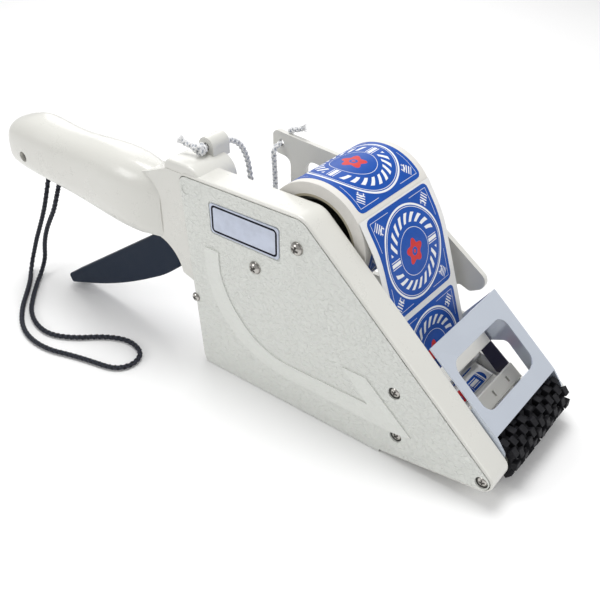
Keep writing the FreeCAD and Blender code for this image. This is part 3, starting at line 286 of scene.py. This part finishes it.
def rubber(name, colour):
    """Dull rubber, dusty on its high spots."""
    skin = Surface(name, colour, 0.5, specular=0.28)
    skin.paint(skin.noise(700, 5).ramp(0.5, 0.8, 0, 0.25), (0.04, 0.04, 0.045))
    skin.roughness(skin.noise(500, 4), 0.5, 0.8)
    skin.bump(skin.noise(1600, 4), 0.4, 0.12 * MM)
    return skin


def woven(name, colour, sheen):
    """Twisted yarn of a braid: fine fibres over each strand."""
    skin = Surface(name, colour, 0.6, sheen=sheen, specular=0.35)
    fibres = skin.noise(3200, 4, 0.7)
    skin.shade(fibres.ramp(0.35, 0.7, 0, 1), 0.35)
    skin.bump(fibres, 0.5, 0.06 * MM)
    return skin


ARROW_HEIGHT = 0.75 * MM


def leather_grain():
    """The side cover's wrinkled moulded grain, smoother on the raised arrow, with painted shade in the gaps round
    it and in the wrinkles' hollows.
    """
    skin = Surface("cover_grain", (0.78, 0.795, 0.755), 0.5)
    depth = skin.axis("Y") - (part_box("side_cover")[0].y + ARROW_HEIGHT)
    raised = depth.below(-0.1 * MM)
    wrinkles = skin.noise(520, 2.0, 0.5, 0.7).ramp(0.36, 0.64, 0, 1)
    pores = skin.noise(1500, 2, 0.5, 0.6)
    # Painted shade: the wrinkles' hollows a little darker.
    skin.shade(wrinkles.ramp(0.0, 0.35, 1, 0), 0.02)
    skin.shade(skin.noise(9, 2).ramp(0.35, 0.8, 0, 1), 0.03)
    skin.paint(raised.math("MULTIPLY", 0.6), (0.80, 0.815, 0.775))
    skin.roughness(wrinkles, 0.6, 0.36)
    # Painted shade: surfaces sunk more than 0.7 mm behind the cover's face, the gaps round it, turn near black.
    skin.paint(depth.ramp(0.7 * MM, 1.0 * MM, 0, 1), (0.10, 0.10, 0.095))
    skin.bump(wrinkles * raised.ramp(0, 1, 1, 0.45), 0.8, 0.5 * MM)
    skin.bump(pores, 0.3, 0.10 * MM)
    return skin


BORDER_INSET, BORDER_RADIUS = 3.2, 1.75  # mm, from the badge's edge to its corners' centres, and their radius


def badge():
    """The blank badge: brushed silver inside a black printed border."""
    skin = steel("badge", (0.60, 0.64, 0.74), 0.5, (4, 60, 60))
    low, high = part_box("nameplate")
    middle, half = (low + high) / 2, (high - low) / 2
    x, z = abs(skin.axis("X") - middle.x) * (1 / MM), abs(skin.axis("Z") - middle.z) * (1 / MM)
    across, over = x - (half.x / MM - BORDER_INSET), z - (half.z / MM - BORDER_INSET)
    corner = ((across | 0.0) ** 2 + (over | 0.0) ** 2) ** 0.5
    skin.paint(corner.near(BORDER_RADIUS, 0.55, 0.08), (0.012, 0.012, 0.02))
    return skin


def screw_face():
    """Plated screw head with its cross recess painted dark as shade and a painted shade ring low on the dome,
    laid out on the head's own UV disc.
    """
    skin = Surface("screw_head", (0.52, 0.50, 0.47), 0.16, metallic=1.0)
    u, v = skin.flat()
    u, v = abs(u - 0.5), abs(v - 0.5)
    bars = (u.below(0.075, 0.02) & v.below(0.27, 0.02)) | (v.below(0.075, 0.02) & u.below(0.27, 0.02))
    pit = (u + v).below(0.16, 0.03)
    # Painted shade: the cross recess and its middle pit painted near black.
    skin.paint((bars | pit).math("MULTIPLY", 0.9), (0.02, 0.018, 0.016))
    # Painted shade: a dark ring low round the dome, where it meets the panel.
    skin.shade((u * u + v * v).math("SQRT").near(0.47, 0.02, 0.03), 0.6)
    skin.roughness(skin.noise(900, 3), 0.1, 0.32)
    skin.bump((bars | pit).ramp(0, 1, 1, 0), 0.8, 0.5 * MM)
    return skin


LABEL_SIDE = 51.0  # mm


def printed_label():
    """Gloss label print: blue ground, white rings, leaf wreath, corner fans and a red rosette, all generic."""
    skin = Surface("label_print", (0.006, 0.082, 0.42), 0.45, coat=0.05, specular=0.25)
    u, v = skin.flat()
    u, v = (u - 0.5) * LABEL_SIDE, (v - 0.5) * LABEL_SIDE
    radius = (u * u + v * v) ** 0.5
    angle = v.math("ARCTAN2", u)
    white = (0.86, 0.87, 0.88)
    skin.paint(skin.noise(160, 4).ramp(0.3, 0.8, 0, 0.5), (0.004, 0.055, 0.30))
    rings = radius.near(22.3, 0.5) | radius.near(21.1, 0.14) | radius.near(11.4, 0.12)
    sweep = (angle * 22 + radius * 0.9).sin()
    gap = abs(v).below(4.2, 0.1)
    wreath = radius.near(16.2, 2.3) & sweep.below(-0.15, 0.1) & gap.ramp(0, 1, 1, 0)
    bars = (abs(v).near(1.7, 0.2) | abs(v).near(0.4, 0.5)) & abs(u).near(15.6, 3.4)
    inner = (abs(u) | abs(v)).near(23.2, 0.1, 0.06) & (abs(u) & abs(v)).below(9, 0.1).ramp(0, 1, 1, 0)
    cu, cv = abs(u) - 17.2, abs(v) - 17.2
    scroll = (cu * cu + cv * cv) ** 0.5
    outward = cu + cv
    leaf = (outward * 3.2).sin().below(-0.1, 0.2) & abs(cu - cv).below(3.2, 0.2) & outward.ramp(-0.5, 0.5, 0, 1)
    corner = (scroll.near(1.5, 0.25) | leaf) & outward.below(7.5, 0.2)
    fans = (inner | corner) & radius.ramp(23.6, 23.9, 0, 1)
    skin.paint(rings | wreath | bars | fans, white)
    petal = (angle * 5).sin() * 1.1 + 5.4
    rosette = (radius - petal).below(0, 0.08) & radius.ramp(2.0, 2.2, 0, 1)
    skin.paint(rosette | radius.below(0.9, 0.08), (0.62, 0.03, 0.03))
    skin.bump(skin.noise(1800, 3), 0.05, 0.03 * MM)
    return skin


def paper(name, colour, roughness=0.7):
    """Smooth paper with faint fibres."""
    skin = Surface(name, colour, roughness)
    skin.shade(skin.noise(700, 5, 0.7).ramp(0.4, 0.8, 0, 1), 0.06)
    skin.bump(skin.noise(1500, 4), 0.15, 0.03 * MM)
    return skin


def wound_edge(name, colour):
    """The side of a roll: fine rings, one to each turn of paper."""
    skin = Surface(name, colour, 0.75)
    lo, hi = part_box("label_roll")
    x, z = skin.axis("X") - (lo.x + hi.x) / 2, skin.axis("Z") - (lo.z + hi.z) / 2
    radius = (x * x + z * z) ** 0.5
    wave = (radius * (TAU / (0.5 * MM))).sin() * 0.5 + 0.5
    skin.shade(wave * skin.noise(300, 4), 0.22)
    skin.bump(wave, 0.3, 0.05 * MM)
    skin.bump(skin.noise(900, 4), 0.3, 0.06 * MM)
    return skin


def all_surfaces():
    """Every material, by the record's slot name or by a name of its own."""
    return {
        "housing_plastic": moulded("ivory_gloss", (0.735, 0.73, 0.685), 0.27, coat=0.4),
        "cover_plastic": leather_grain(),
        "badge_metal": badge(),
        "screw_steel": steel("plated_screw", (0.78, 0.77, 0.74), 0.2, (40, 40, 40)),
        "trigger_plastic": moulded("trigger_navy", (0.003, 0.012, 0.031), 0.5, grain=0.3, specular=0.2),
        "shaft_steel": steel("ground_steel", (0.60, 0.61, 0.62), 0.28, (60, 1, 60)),
        "spring_steel": steel("spring_steel", (0.30, 0.31, 0.33), 0.35),
        "gear_plastic": moulded("acetal", (0.72, 0.69, 0.58), 0.45),
        "bush_bronze": steel("bronze", (0.50, 0.30, 0.14), 0.4),
        "frame_plastic": moulded("frame_white", (0.72, 0.72, 0.68), 0.42),
        "guard_plastic": moulded("guard_white", (0.70, 0.695, 0.655), 0.48, grain=0.1),
        "bar_plastic": moulded("bar_white", (0.76, 0.75, 0.70), 0.5),
        "plate_paint": moulded("violet_paint", (0.035, 0.032, 0.065), 0.4),
        "cover_steel": sheet_steel(),
        "label_paper": paper("label_stock", (0.83, 0.83, 0.82)),
        "liner_paper": paper("backing_paper", (0.84, 0.83, 0.78), 0.5),
        "core_card": paper("wound_card", (0.42, 0.38, 0.28), 0.85),
        "hub_plastic": moulded("hub_olive", (0.17, 0.175, 0.15), 0.5),
        "collar_plastic": moulded("collar_black", (0.012, 0.012, 0.013), 0.4),
        "feed_rubber": rubber("feed_rubber", (0.03, 0.03, 0.032)),
        "nose_rubber": rubber("nose_rubber", (0.006, 0.006, 0.0085)),
        "strap_fabric": woven("strap_yarn", (0.024, 0.028, 0.045), 0.05),
        "tether_fabric": woven("tether_yarn", (0.95, 0.955, 0.96), 0.08),
        # The cores' darker yarn is painted shade, seen in the gaps between the braid's strands.
        "strap_core_painted_shade": woven("strap_core_painted_shade", (0.0015, 0.0015, 0.003), 0.0),
        "tether_core_painted_shade": woven("tether_core_painted_shade", (0.48, 0.51, 0.56), 0.1),
        "print": printed_label(),
        "roll_side": wound_edge("roll_side", (0.78, 0.76, 0.72)),
        "screw_face": screw_face(),
    }


def sheet_steel():
    """Bright satin sheet steel with soft smudges and fine rolling lines."""
    skin = Surface("satin_sheet", (0.72, 0.775, 0.87), 0.2, metallic=0.5)
    skin.roughness(skin.noise(45, 4) * 0.7 + skin.noise(1500, 2, stretch=(1, 20, 1)) * 0.3, 0.12, 0.32)
    skin.shade(skin.noise(30, 3).ramp(0.4, 0.8, 0, 1), 0.05)
    skin.bump(skin.noise(1200, 3), 0.05, 0.03 * MM)
    return skin


# ---------------------------------------------------------------- pieces
def piece(name, verts, faces, surface, body, slot_name, *, smooth=35, hidden=()):
    """A mesh piece that rides on a CAD body and may stand for CAD nodes."""
    mesh = bpy.data.meshes.new(name)
    mesh.from_pydata(verts, [], faces)
    mesh.validate()
    obj = bpy.data.objects.new(name, mesh)
    bpy.context.scene.collection.objects.link(obj)
    return finish_piece(obj, surface, body, smooth=smooth, hidden=hidden)


def finish_piece(obj, surface, body, *, smooth=35, hidden=()):
    """Material, shading, body (none where it blends between two) and the CAD nodes it stands for."""
    obj.data.materials.append(surface.material)
    if smooth:
        obj.data.shade_smooth()
        obj.data.set_sharp_from_angle(angle=math.radians(smooth))
    if body:
        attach(obj, body)
    if hidden:
        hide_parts(*hidden)
    return obj


def lay_print(obj, name, uvs):
    """Gives a piece a UV layer, from one UV for each of its vertices."""
    layer = obj.data.uv_layers.new(name=name)
    for loop in obj.data.loops:
        layer.data[loop.index].uv = uvs[loop.vertex_index]


def soften(obj, width, segments=2):
    """Rounds an object's crisp edges with modifiers, its own mesh left as it is."""
    weld = obj.modifiers.new("weld", "WELD")
    weld.merge_threshold = 0.002 * MM
    bevel = obj.modifiers.new("soft_edges", "BEVEL")
    bevel.width = width
    bevel.segments = segments
    bevel.limit_method = "ANGLE"
    bevel.angle_limit = math.radians(35)
    bevel.harden_normals = True


# ---------------------------------------------------------------- cords
CARRIERS = 6  # the strands of each braid
BRAID_STEP = 0.4 * MM
STRAND_FILL = 0.82  # how much of its own place round the braid a strand takes up
STRAP_RADIUS, STRAP_PITCH = 1.55 * MM, 9.6 * MM
TETHER_RADIUS, TETHER_PITCH = 1.75 * MM, 10.5 * MM
KNOT_SIZE, KNOT_SETBACK = 3.0 * MM, 3.3 * MM
# Control points of the cords' centre lines, in millimetres, from one end to the other.
STRAP_ROUTE = [(-186, -39, 82), (-186, -39, 75), (-183.7, -43, 68.6), (-182.6, -46.6, 61.5), (-186, -47.4, 52),
               (-191.5, -47.3, 42), (-197.2, -46.8, 33), (-202.4, -46.3, 24.9), (-206.4, -45.7, 18.4),
               (-209.5, -45.5, 12.7), (-210.2, -47.1, 8), (-208.9, -49.8, 4), (-206, -53.1, 1.8),
               (-199.8, -58.1, 1.6), (-190.6, -67.2, 1.6), (-178.2, -80.4, 1.6), (-163.5, -91.4, 1.6),
               (-149, -96.2, 1.6), (-133.5, -96.2, 1.6), (-119, -91.3, 1.6), (-106, -88, 1.6),
               (-94.1, -85.5, 1.6), (-88.6, -81.5, 1.6), (-86.5, -75, 1.6), (-88.6, -68.5, 1.6),
               (-94.1, -64.3, 1.6), (-105.5, -62.6, 1.6), (-118.5, -69, 1.6), (-130.5, -80.5, 1.6),
               (-144, -87, 1.6), (-158, -85.5, 1.6), (-171.5, -79.2, 1.6), (-182.4, -69.2, 1.6),
               (-189.6, -61.8, 1.6), (-194.8, -56.3, 1.6), (-198.7, -51.4, 1.8), (-200.7, -47.9, 3.8),
               (-201.5, -45.1, 7.3), (-200.9, -43.9, 11.6), (-198.2, -44.8, 18.5), (-194.5, -46, 26.2),
               (-189.8, -46.8, 34.6), (-183.8, -47.1, 44), (-177.3, -47.2, 53), (-173.6, -46.6, 61.5),
               (-174, -43, 68.6), (-175.5, -39, 75), (-175.5, -39, 82)]
TETHER_ROUTE = [(-66, -30.2, 118), (-66, -19, 118), (-66.2, -6, 113.5), (-67, 1.5, 101), (-67.8, 4.2, 87),
                (-68.6, 6.7, 76), (-69, 7.6, 67), (-69.4, 9.8, 60), (-69.9, 15.2, 56), (-70.6, 21.8, 56),
                (-71.2, 27, 60), (-71.6, 29, 67.5), (-71.8, 29.2, 79.5), (-71.7, 28.4, 88.3),
                (-71.4, 27.8, 96.4), (-71.4, 34.2, 96.4)]
NEAR_TAIL = [(-3.4, -1.2, 1.6), (-6.4, -1.8, 1.2), (-9.5, -2.2, 2.6)]
FAR_TAIL = [(2.4, -1.5, 4.5), (4.5, -4, 8.2), (9.5, -4, 9.2), (13.5, -4, 11.2)]


def smooth_line(route, resolution=14):
    """Points along the NURBS curve whose control points are the route's, given in millimetres."""
    curve = bpy.data.curves.new("route", "CURVE")
    curve.dimensions = "3D"
    spline = curve.splines.new("NURBS")
    spline.points.add(len(route) - 1)
    for point, place in zip(spline.points, route):
        point.co = (*(Vector(place) * MM), 1)
    spline.order_u = 3
    spline.use_endpoint_u = True
    curve.resolution_u = resolution
    holder = bpy.data.objects.new("route", curve)
    mesh = bpy.data.meshes.new_from_object(holder)
    line = [vertex.co.copy() for vertex in mesh.vertices]
    bpy.data.objects.remove(holder)
    bpy.data.curves.remove(curve)
    bpy.data.meshes.remove(mesh)
    return line


def evenly(line, step):
    """The line's points, about step apart, with a frame that doesn't twist: (place, side, up) for each."""
    lengths = [0.0]
    for a, b in zip(line, line[1:]):
        lengths.append(lengths[-1] + (b - a).length)
    count = max(4, round(lengths[-1] / step))
    places, k = [], 0
    for i in range(count + 1):
        target = lengths[-1] * i / count
        while k < len(line) - 2 and lengths[k + 1] < target:
            k += 1
        span = lengths[k + 1] - lengths[k] or 1
        places.append(line[k].lerp(line[k + 1], (target - lengths[k]) / span))
    ahead = (places[1] - places[0]).normalized()
    side = ahead.orthogonal().normalized()
    frames = []
    for i, place in enumerate(places):
        new = (places[min(i + 1, count)] - places[max(i - 1, 0)]).normalized()
        side = (side - new * side.dot(new)).normalized()
        frames.append((place, side, new.cross(side)))
    return frames, lengths[-1]


def band_faces(here, ring):
    """The faces between the ring of vertices that starts at here and the ring before it."""
    before = here - ring
    return [(before + k, before + (k + 1) % ring, here + (k + 1) % ring, here + k) for k in range(ring)]


def braid_mesh(line, radius, pitch):
    """Vertices and faces of a round braid: half the strands wind each way, passing over and under."""
    frames, length = evenly(line, BRAID_STEP)
    half_wide = radius * math.sin(math.pi / CARRIERS) * STRAND_FILL
    half_thick = radius * 1.6 / CARRIERS
    middle = radius - half_thick * 1.8
    ring = 6
    verts, faces = [], []
    for index in range(CARRIERS):
        way = 1 if index % 2 else -1
        start = TAU * (index // 2) / (CARRIERS / 2)
        first = len(verts)
        for i, (place, side, up) in enumerate(frames):
            run = length * i / (len(frames) - 1)
            turn = start + way * TAU * run / pitch
            lift = way * math.cos(CARRIERS / 2 * turn) * half_thick * 0.8
            out = side * math.cos(turn) + up * math.sin(turn)
            cross = up * math.cos(turn) - side * math.sin(turn)
            for k in range(ring):
                a = TAU * k / ring
                verts.append(place + out * (middle + lift + half_thick * math.sin(a))
                             + cross * (half_wide * math.cos(a)))
            if i:
                faces += band_faces(len(verts) - ring, ring)
        faces.append([first + k for k in reversed(range(ring))])
        faces.append([len(verts) - ring + k for k in range(ring)])
    return verts, faces, length


def rope_core(line, radius):
    """A plain round core inside a braid, so that no light comes through it."""
    frames, _ = evenly(line, BRAID_STEP * 2)
    ring = 10
    verts, faces = [], []
    for i, (place, side, up) in enumerate(frames):
        verts += [place + (side * math.cos(TAU * k / ring) + up * math.sin(TAU * k / ring)) * radius
                  for k in range(ring)]
        if i:
            faces += band_faces(len(verts) - ring, ring)
    faces.append(list(reversed(range(ring))))
    faces.append([len(verts) - ring + k for k in range(ring)])
    return verts, faces


def joined(*meshes):
    """Several (vertices, faces) as one."""
    verts, faces = [], []
    for more, patches in meshes:
        faces += [[i + len(verts) for i in patch] for patch in patches]
        verts += more
    return verts, faces


def rope(line, radius, pitch):
    """A braid over its core: (vertices, faces, length, how many of the faces are the braid's)."""
    verts, faces, length = braid_mesh(line, radius, pitch)
    return *joined((verts, faces), rope_core(line, radius * 0.66)), length, len(faces)


def shade_core(obj, first, last, surface):
    """Gives a rope's core, the faces from first to last, a darker yarn: painted shade in the gaps between the
    strands.
    """
    obj.data.materials.append(surface.material)
    for face in obj.data.polygons[first:last]:
        face.material_index = 1


def knot_route(centre, axis, size, tail):
    """A round knot about an axis that the cord comes in along, and its tail in millimetres from the centre."""
    away = Vector(axis).normalized()
    side = away.orthogonal().normalized()
    up = away.cross(side)
    points = [centre - away * size * 1.3]
    turns = 16
    for i in range(turns + 1):
        a = TAU * 1.9 * i / turns
        shift = (i / turns - 0.5) * 1.3
        points.append(centre + (side * math.cos(a) + up * math.sin(a)) * size * 0.62 + away * size * shift)
    return points + [centre + Vector(place) * MM for place in tail]


def frayed_tail(place, heading, radius, length, seed, count=46):
    """Loose yarn ends fanning from a cut cord: (vertices, faces)."""
    chance = random.Random(seed)
    verts, faces = [], []
    heading = Vector(heading).normalized()
    side = heading.orthogonal().normalized()
    up = heading.cross(side)
    for _ in range(count):
        a, r = chance.uniform(0, TAU), radius * math.sqrt(chance.random())
        root = Vector(place) + (side * math.cos(a) + up * math.sin(a)) * r
        lean = (heading + (side * math.cos(a) + up * math.sin(a)) * chance.uniform(0.05, 0.55)).normalized()
        curl = Vector((chance.uniform(-1, 1), chance.uniform(-1, 1), chance.uniform(-1, 0.4))) * 0.25
        thick, long = radius * chance.uniform(0.08, 0.13), length * chance.uniform(0.6, 1)
        across, over = lean.orthogonal().normalized(), lean.cross(lean.orthogonal().normalized())
        base = len(verts)
        steps = 5
        for i in range(steps + 1):
            t = i / steps
            middle = root + (lean + curl * t) * long * t
            fine = thick * (1 - 0.6 * t)
            verts += [middle + across * fine * math.cos(TAU * k / 3) + over * fine * math.sin(TAU * k / 3)
                      for k in range(3)]
            if i:
                faces += band_faces(base + 3 * i, 3)
        faces += [(base + 2, base + 1, base), (len(verts) - 3, len(verts) - 2, len(verts) - 1)]
    return verts, faces


def cords(surfaces):
    """The wrist strap and the white tether with its two knots, each of real braided strands."""
    line = smooth_line(STRAP_ROUTE)
    verts, faces, length, braid = rope(line, STRAP_RADIUS, STRAP_PITCH)
    strap = piece("wrist_strap_braid", verts, faces, surfaces["strap_fabric"], "case", "strap_fabric",
                  smooth=80, hidden=["wrist_strap"])
    shade_core(strap, braid, len(faces), surfaces["strap_core_painted_shade"])

    line = smooth_line(TETHER_ROUTE)
    verts, faces, length, braid = rope(line, TETHER_RADIUS, TETHER_PITCH)
    tether = piece("tether_braid", verts, faces, surfaces["tether_fabric"], None, "tether_fabric",
                   smooth=80, hidden=["tether_cord"])
    shade_core(tether, braid, len(faces), surfaces["tether_core_painted_shade"])
    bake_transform(tether)
    for name, node, axis, body, tail in (("near_knot", "tether_knot_near", (0, -1, 0), "case", NEAR_TAIL),
                                         ("far_knot", "tether_knot_far", (0, 1, 0), "guard", FAR_TAIL)):
        low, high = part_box(node)
        centre = (low + high) / 2
        if body == "guard":
            centre.y = high.y - KNOT_SETBACK
        knot_line = smooth_line([place / MM for place in knot_route(centre, axis, KNOT_SIZE, tail)])
        verts, faces, _, braid = rope(knot_line, TETHER_RADIUS, TETHER_PITCH)
        end = knot_line[-1]
        fray = frayed_tail(end, end - knot_line[-4], radius=1.5 * MM, length=3.2 * MM, seed=7)
        knot = piece(name, *joined((verts, faces), fray), surfaces["tether_fabric"], body, "tether_fabric",
                     smooth=80, hidden=[node])
        shade_core(knot, braid, len(faces), surfaces["tether_core_painted_shade"])


# ---------------------------------------------------------------- paper
def along(line):
    """Lengths along a flat line of (x, z) points."""
    lengths = [0.0]
    for (x0, z0), (x1, z1) in zip(line, line[1:]):
        lengths.append(lengths[-1] + math.hypot(x1 - x0, z1 - z0))
    return lengths


def rounded_route(route, step=1.0):
    """Points about step apart along straight runs joined by arcs, from (x, z, radius) corners."""
    points = [Vector(route[0][:2])]
    for before, here, after in zip(route, route[1:], route[2:]):
        corner = Vector(here[:2])
        to_before = (Vector(before[:2]) - corner).normalized()
        to_after = (Vector(after[:2]) - corner).normalized()
        half = to_before.angle(to_after) / 2
        reach = here[2] / math.tan(half)
        centre = corner + (to_before + to_after).normalized() * (here[2] / math.sin(half))
        start, stop = corner + to_before * reach - centre, corner + to_after * reach - centre
        turn = start.angle_signed(stop)
        count = max(6, round(abs(turn) * here[2] / step))
        for i in range(count + 1):
            spun = start.copy()
            spun.rotate(Matrix.Rotation(-turn * i / count, 2))
            points.append(centre + spun)
    points.append(Vector(route[-1][:2]))
    line = [points[0]]
    for point in points[1:]:
        gap = (point - line[-1]).length
        for i in range(1, max(1, round(gap / step)) + 1):
            line.append(line[-1].lerp(point, 1 / (max(1, round(gap / step)) + 1 - i)))
    return [(p.x, p.y) for p in line]


def point_on(line, lengths, target):
    """The place and the direction at a length along a flat line."""
    k = 0
    while k < len(line) - 2 and lengths[k + 1] < target:
        k += 1
    a, b = Vector(line[k]), Vector(line[k + 1])
    span = lengths[k + 1] - lengths[k] or 1
    return a.lerp(b, (target - lengths[k]) / span), (b - a).normalized()


LABEL_CORNER, LABEL_THICK = 3.4, 0.09  # mm


def sticker(line, lengths, start, side, lift):
    """Vertices, faces and UVs of one rounded-square label wrapped on a line, side being its length along it."""
    half, corner = LABEL_SIDE / 2, LABEL_CORNER
    columns, rows = 26, 26
    verts, faces, uvs = [], [], []
    for level in (lift + LABEL_THICK, lift):
        for i in range(columns + 1):
            for j in range(rows + 1):
                u, v = i / columns * 2 - 1, j / rows * 2 - 1
                a, b = u * side / 2, v * half
                over_a, over_b = abs(a) - (side / 2 - corner), abs(b) - (half - corner)
                if over_a > 0 and over_b > 0:
                    reach = math.hypot(over_a, over_b)
                    scale = max(over_a, over_b) / reach
                    a = math.copysign(side / 2 - corner + over_a * scale, a)
                    b = math.copysign(half - corner + over_b * scale, b)
                place, heading = point_on(line, lengths, start + side / 2 + a)
                out = Vector((-heading.y, heading.x)) * level
                verts.append(((place.x + out.x) * MM, b * MM, (place.y + out.y) * MM))
                uvs.append((0.5 + b / LABEL_SIDE, 0.5 - a / LABEL_SIDE))
    size = (columns + 1) * (rows + 1)
    for i in range(columns):
        for j in range(rows):
            q = i * (rows + 1) + j
            faces.append((q, q + rows + 1, q + rows + 2, q + 1))
    rim = list(range(rows))
    rim += [i * (rows + 1) + rows for i in range(columns)]
    rim += [columns * (rows + 1) + j for j in range(rows, 0, -1)]
    rim += [i * (rows + 1) for i in range(columns, 0, -1)]
    faces += [(rim[k], rim[(k + 1) % len(rim)], rim[(k + 1) % len(rim)] + size, rim[k] + size)
              for k in range(len(rim))]
    return verts, faces, uvs


def label_mesh(name, line, runs, surface, body, lift):
    """Printed labels on a line, as one piece with UVs. Each run is a label's start and its length."""
    lengths = along(line)
    verts, faces, uvs = [], [], []
    for start, long in runs:
        more, patches, places = sticker(line, lengths, start, long, lift)
        faces += [tuple(i + len(verts) for i in patch) for patch in patches]
        verts += more
        uvs += places
    printed = piece(name, verts, faces, surface, body, "label_paper", smooth=30)
    lay_print(printed, "print", uvs)


LABEL_STEP = LABEL_SIDE + 3.2
FIRST_LABEL = 0.8  # from the web's top to its first label
WEB_LEAVES = 39.0  # degrees round the roll, where the web comes off it
# The web's corners from the roll to the peel edge: x, z and corner radius in millimetres.
WEB_ROUTE = [(25, 106.6, 0), (35.5, 90, 60), (53.4, 33.5, 60), (57.2, 12.2, 9), (74, 8.7, 0)]


def labels(surfaces):
    """Printed labels down the web and round the roll. The web's third is shortened at the peel edge."""
    line = rounded_route(WEB_ROUTE)
    third = FIRST_LABEL + LABEL_STEP * 2
    runs = [(FIRST_LABEL, LABEL_SIDE), (FIRST_LABEL + LABEL_STEP, LABEL_SIDE),
            (third, along(line)[-1] - third - 0.5)]
    label_mesh("web_labels", line, runs, surfaces["print"], "case", 0.17)
    low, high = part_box("label_roll")
    middle, radius = (low + high) / 2 / MM, (high.x - low.x) / 2 / MM
    around = [(middle.x + radius * math.cos(math.radians(WEB_LEAVES + a)),
               middle.z + radius * math.sin(math.radians(WEB_LEAVES + a))) for a in range(360, -1, -2)]
    total = along(around)[-1]
    label_mesh("roll_labels", around, [(total - LABEL_SIDE - LABEL_STEP * i, LABEL_SIDE) for i in range(3)],
               surfaces["print"], "roll", 0.02)


# ---------------------------------------------------------------- application roller
def knobs(surfaces):
    """The ragged rubber fingers of the application roller, worn and a little bent, ring by ring."""
    chance = random.Random(11)
    low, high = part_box("finger_rings")
    middle = (low + high) / 2
    rings, count = 13, 9
    pitch, wide = 4.5 * MM, 3.7 * MM
    hoop, root, tip, sunk = 6.4 * MM, 8.3 * MM, 11.2 * MM, 0.8 * MM
    root_half, tip_half = 0.235, 0.185  # radians either side of a knob's middle
    mesh = bmesh.new()
    for ring in range(rings):
        y = middle.y + (ring - (rings - 1) / 2) * pitch
        for knob in range(count):
            angle = TAU * (knob + 0.5 * (ring % 2)) / count + chance.uniform(-0.05, 0.05)
            made = bmesh.ops.create_cube(mesh, size=1)["verts"]
            lean, twist = chance.uniform(-0.10, 0.10), chance.uniform(-0.09, 0.09)
            reach = tip - chance.uniform(0, 0.5) * MM
            for vert in made:
                x, s, z = vert.co
                radius = root - sunk + (z + 0.5) * (reach - root + sunk)
                half = (root_half if z < 0 else tip_half) + 0.015 * chance.random()
                a = angle + x * 2 * half + (lean if z > 0 else 0)
                skew = twist * radius * 0.5 if z > 0 else 0
                vert.co = (middle.x + radius * math.cos(a), y + s * wide + skew,
                           middle.z + radius * math.sin(a))
    bmesh.ops.recalc_face_normals(mesh, faces=mesh.faces)
    steps = 54
    for ring in range(rings):
        y = middle.y + (ring - (rings - 1) / 2) * pitch
        loops = []
        for offset, radius in ((-wide / 2, hoop), (-wide / 2, root), (wide / 2, root), (wide / 2, hoop)):
            loops.append([mesh.verts.new((middle.x + radius * math.cos(TAU * k / steps), y + offset,
                                          middle.z + radius * math.sin(TAU * k / steps)))
                          for k in range(steps)])
        for k in range(steps):
            for a, b in ((0, 1), (1, 2), (2, 3), (3, 0)):
                mesh.faces.new((loops[a][k], loops[b][k], loops[b][(k + 1) % steps], loops[a][(k + 1) % steps]))
    data = bpy.data.meshes.new("rubber_fingers")
    mesh.to_mesh(data)
    mesh.free()
    obj = bpy.data.objects.new("rubber_fingers", data)
    bpy.context.scene.collection.objects.link(obj)
    soften(obj, 0.35 * MM)
    finish_piece(obj, surfaces["nose_rubber"], "nose_roller", smooth=0, hidden=["finger_rings"])


# ---------------------------------------------------------------- screws
# A head's outline below its top, as shares of its height and of its radius.
DOME = [(0, 1.0), (0.12, 1.0), (0.34, 0.93), (0.62, 0.78), (0.84, 0.55), (0.96, 0.3)]
PANEL_FACE, SUNK_FACE, GRIP_FACE = -47.1, -45.7, -50  # mm, the planes that the heads stand on


def screw_heads(name, node, places, face, radius, tall, surfaces):
    """Domed cross-head screws at (x, z) places in millimetres, their heads standing on the plane Y = face."""
    steps = 40
    verts, faces, uvs = [], [], []
    for number, (x, z) in enumerate(places):
        turn = math.radians(17 + 31 * number)
        first = len(verts)
        for up, out in DOME:
            for k in range(steps):
                a = TAU * k / steps
                verts.append(((x + radius * out * math.cos(a)) * MM, (face - tall * up) * MM,
                              (z + radius * out * math.sin(a)) * MM))
                uvs.append((0.5 + out / 2 * math.cos(a + turn), 0.5 + out / 2 * math.sin(a + turn)))
        verts.append((x * MM, (face - tall) * MM, z * MM))
        uvs.append((0.5, 0.5))
        for ring in range(len(DOME) - 1):
            here = first + ring * steps
            faces += [(here + k, here + (k + 1) % steps, here + steps + (k + 1) % steps, here + steps + k)
                      for k in range(steps)]
        last = first + (len(DOME) - 1) * steps
        faces += [(last + k, last + (k + 1) % steps, len(verts) - 1) for k in range(steps)]
        faces.append([first + k for k in reversed(range(steps))])
    heads = piece(name, verts, faces, surfaces["screw_face"], "case", "screw_steel", smooth=60, hidden=[node])
    lay_print(heads, "head", uvs)


def all_screws(surfaces):
    """The two pan heads, the small rear screw, the three sunk screws and the one in the grip."""
    screw_heads("pan_heads", "pan_head_screws", [(4.5, 94.7), (-20.9, 74.8)], PANEL_FACE, 3.4, 2.3, surfaces)
    screw_heads("rear_head", "rear_screw", [(-62.8, 40.5)], PANEL_FACE, 2.5, 1.6, surfaces)
    screw_heads("sunk_heads", "recessed_screws", [(59.9, 39.3), (62.5, 14.6), (107.2, 13.2)], SUNK_FACE, 2.7,
                1.3, surfaces)
    screw_heads("grip_head", "grip_screw", [(-188.6, 86.2)], GRIP_FACE, 2.7, 1.6, surfaces)


# ---------------------------------------------------------------- put together
camera()
studio()
surfaces = all_surfaces()
cords(surfaces)
for entry in frame["record"]["subparts"]:
    node = NODES[entry["node"]]
    node.data.materials.clear()
    chosen = "roll_side" if entry["node"] == "label_roll" else entry["material_slot"]
    node.data.materials.append(surfaces[chosen].material)
soften(NODES["side_cover"], 0.35 * MM)
soften(NODES["front_cover"], 0.2 * MM)
soften(NODES["roll_guard"], 0.5 * MM)
labels(surfaces)
knobs(surfaces)
all_screws(surfaces)
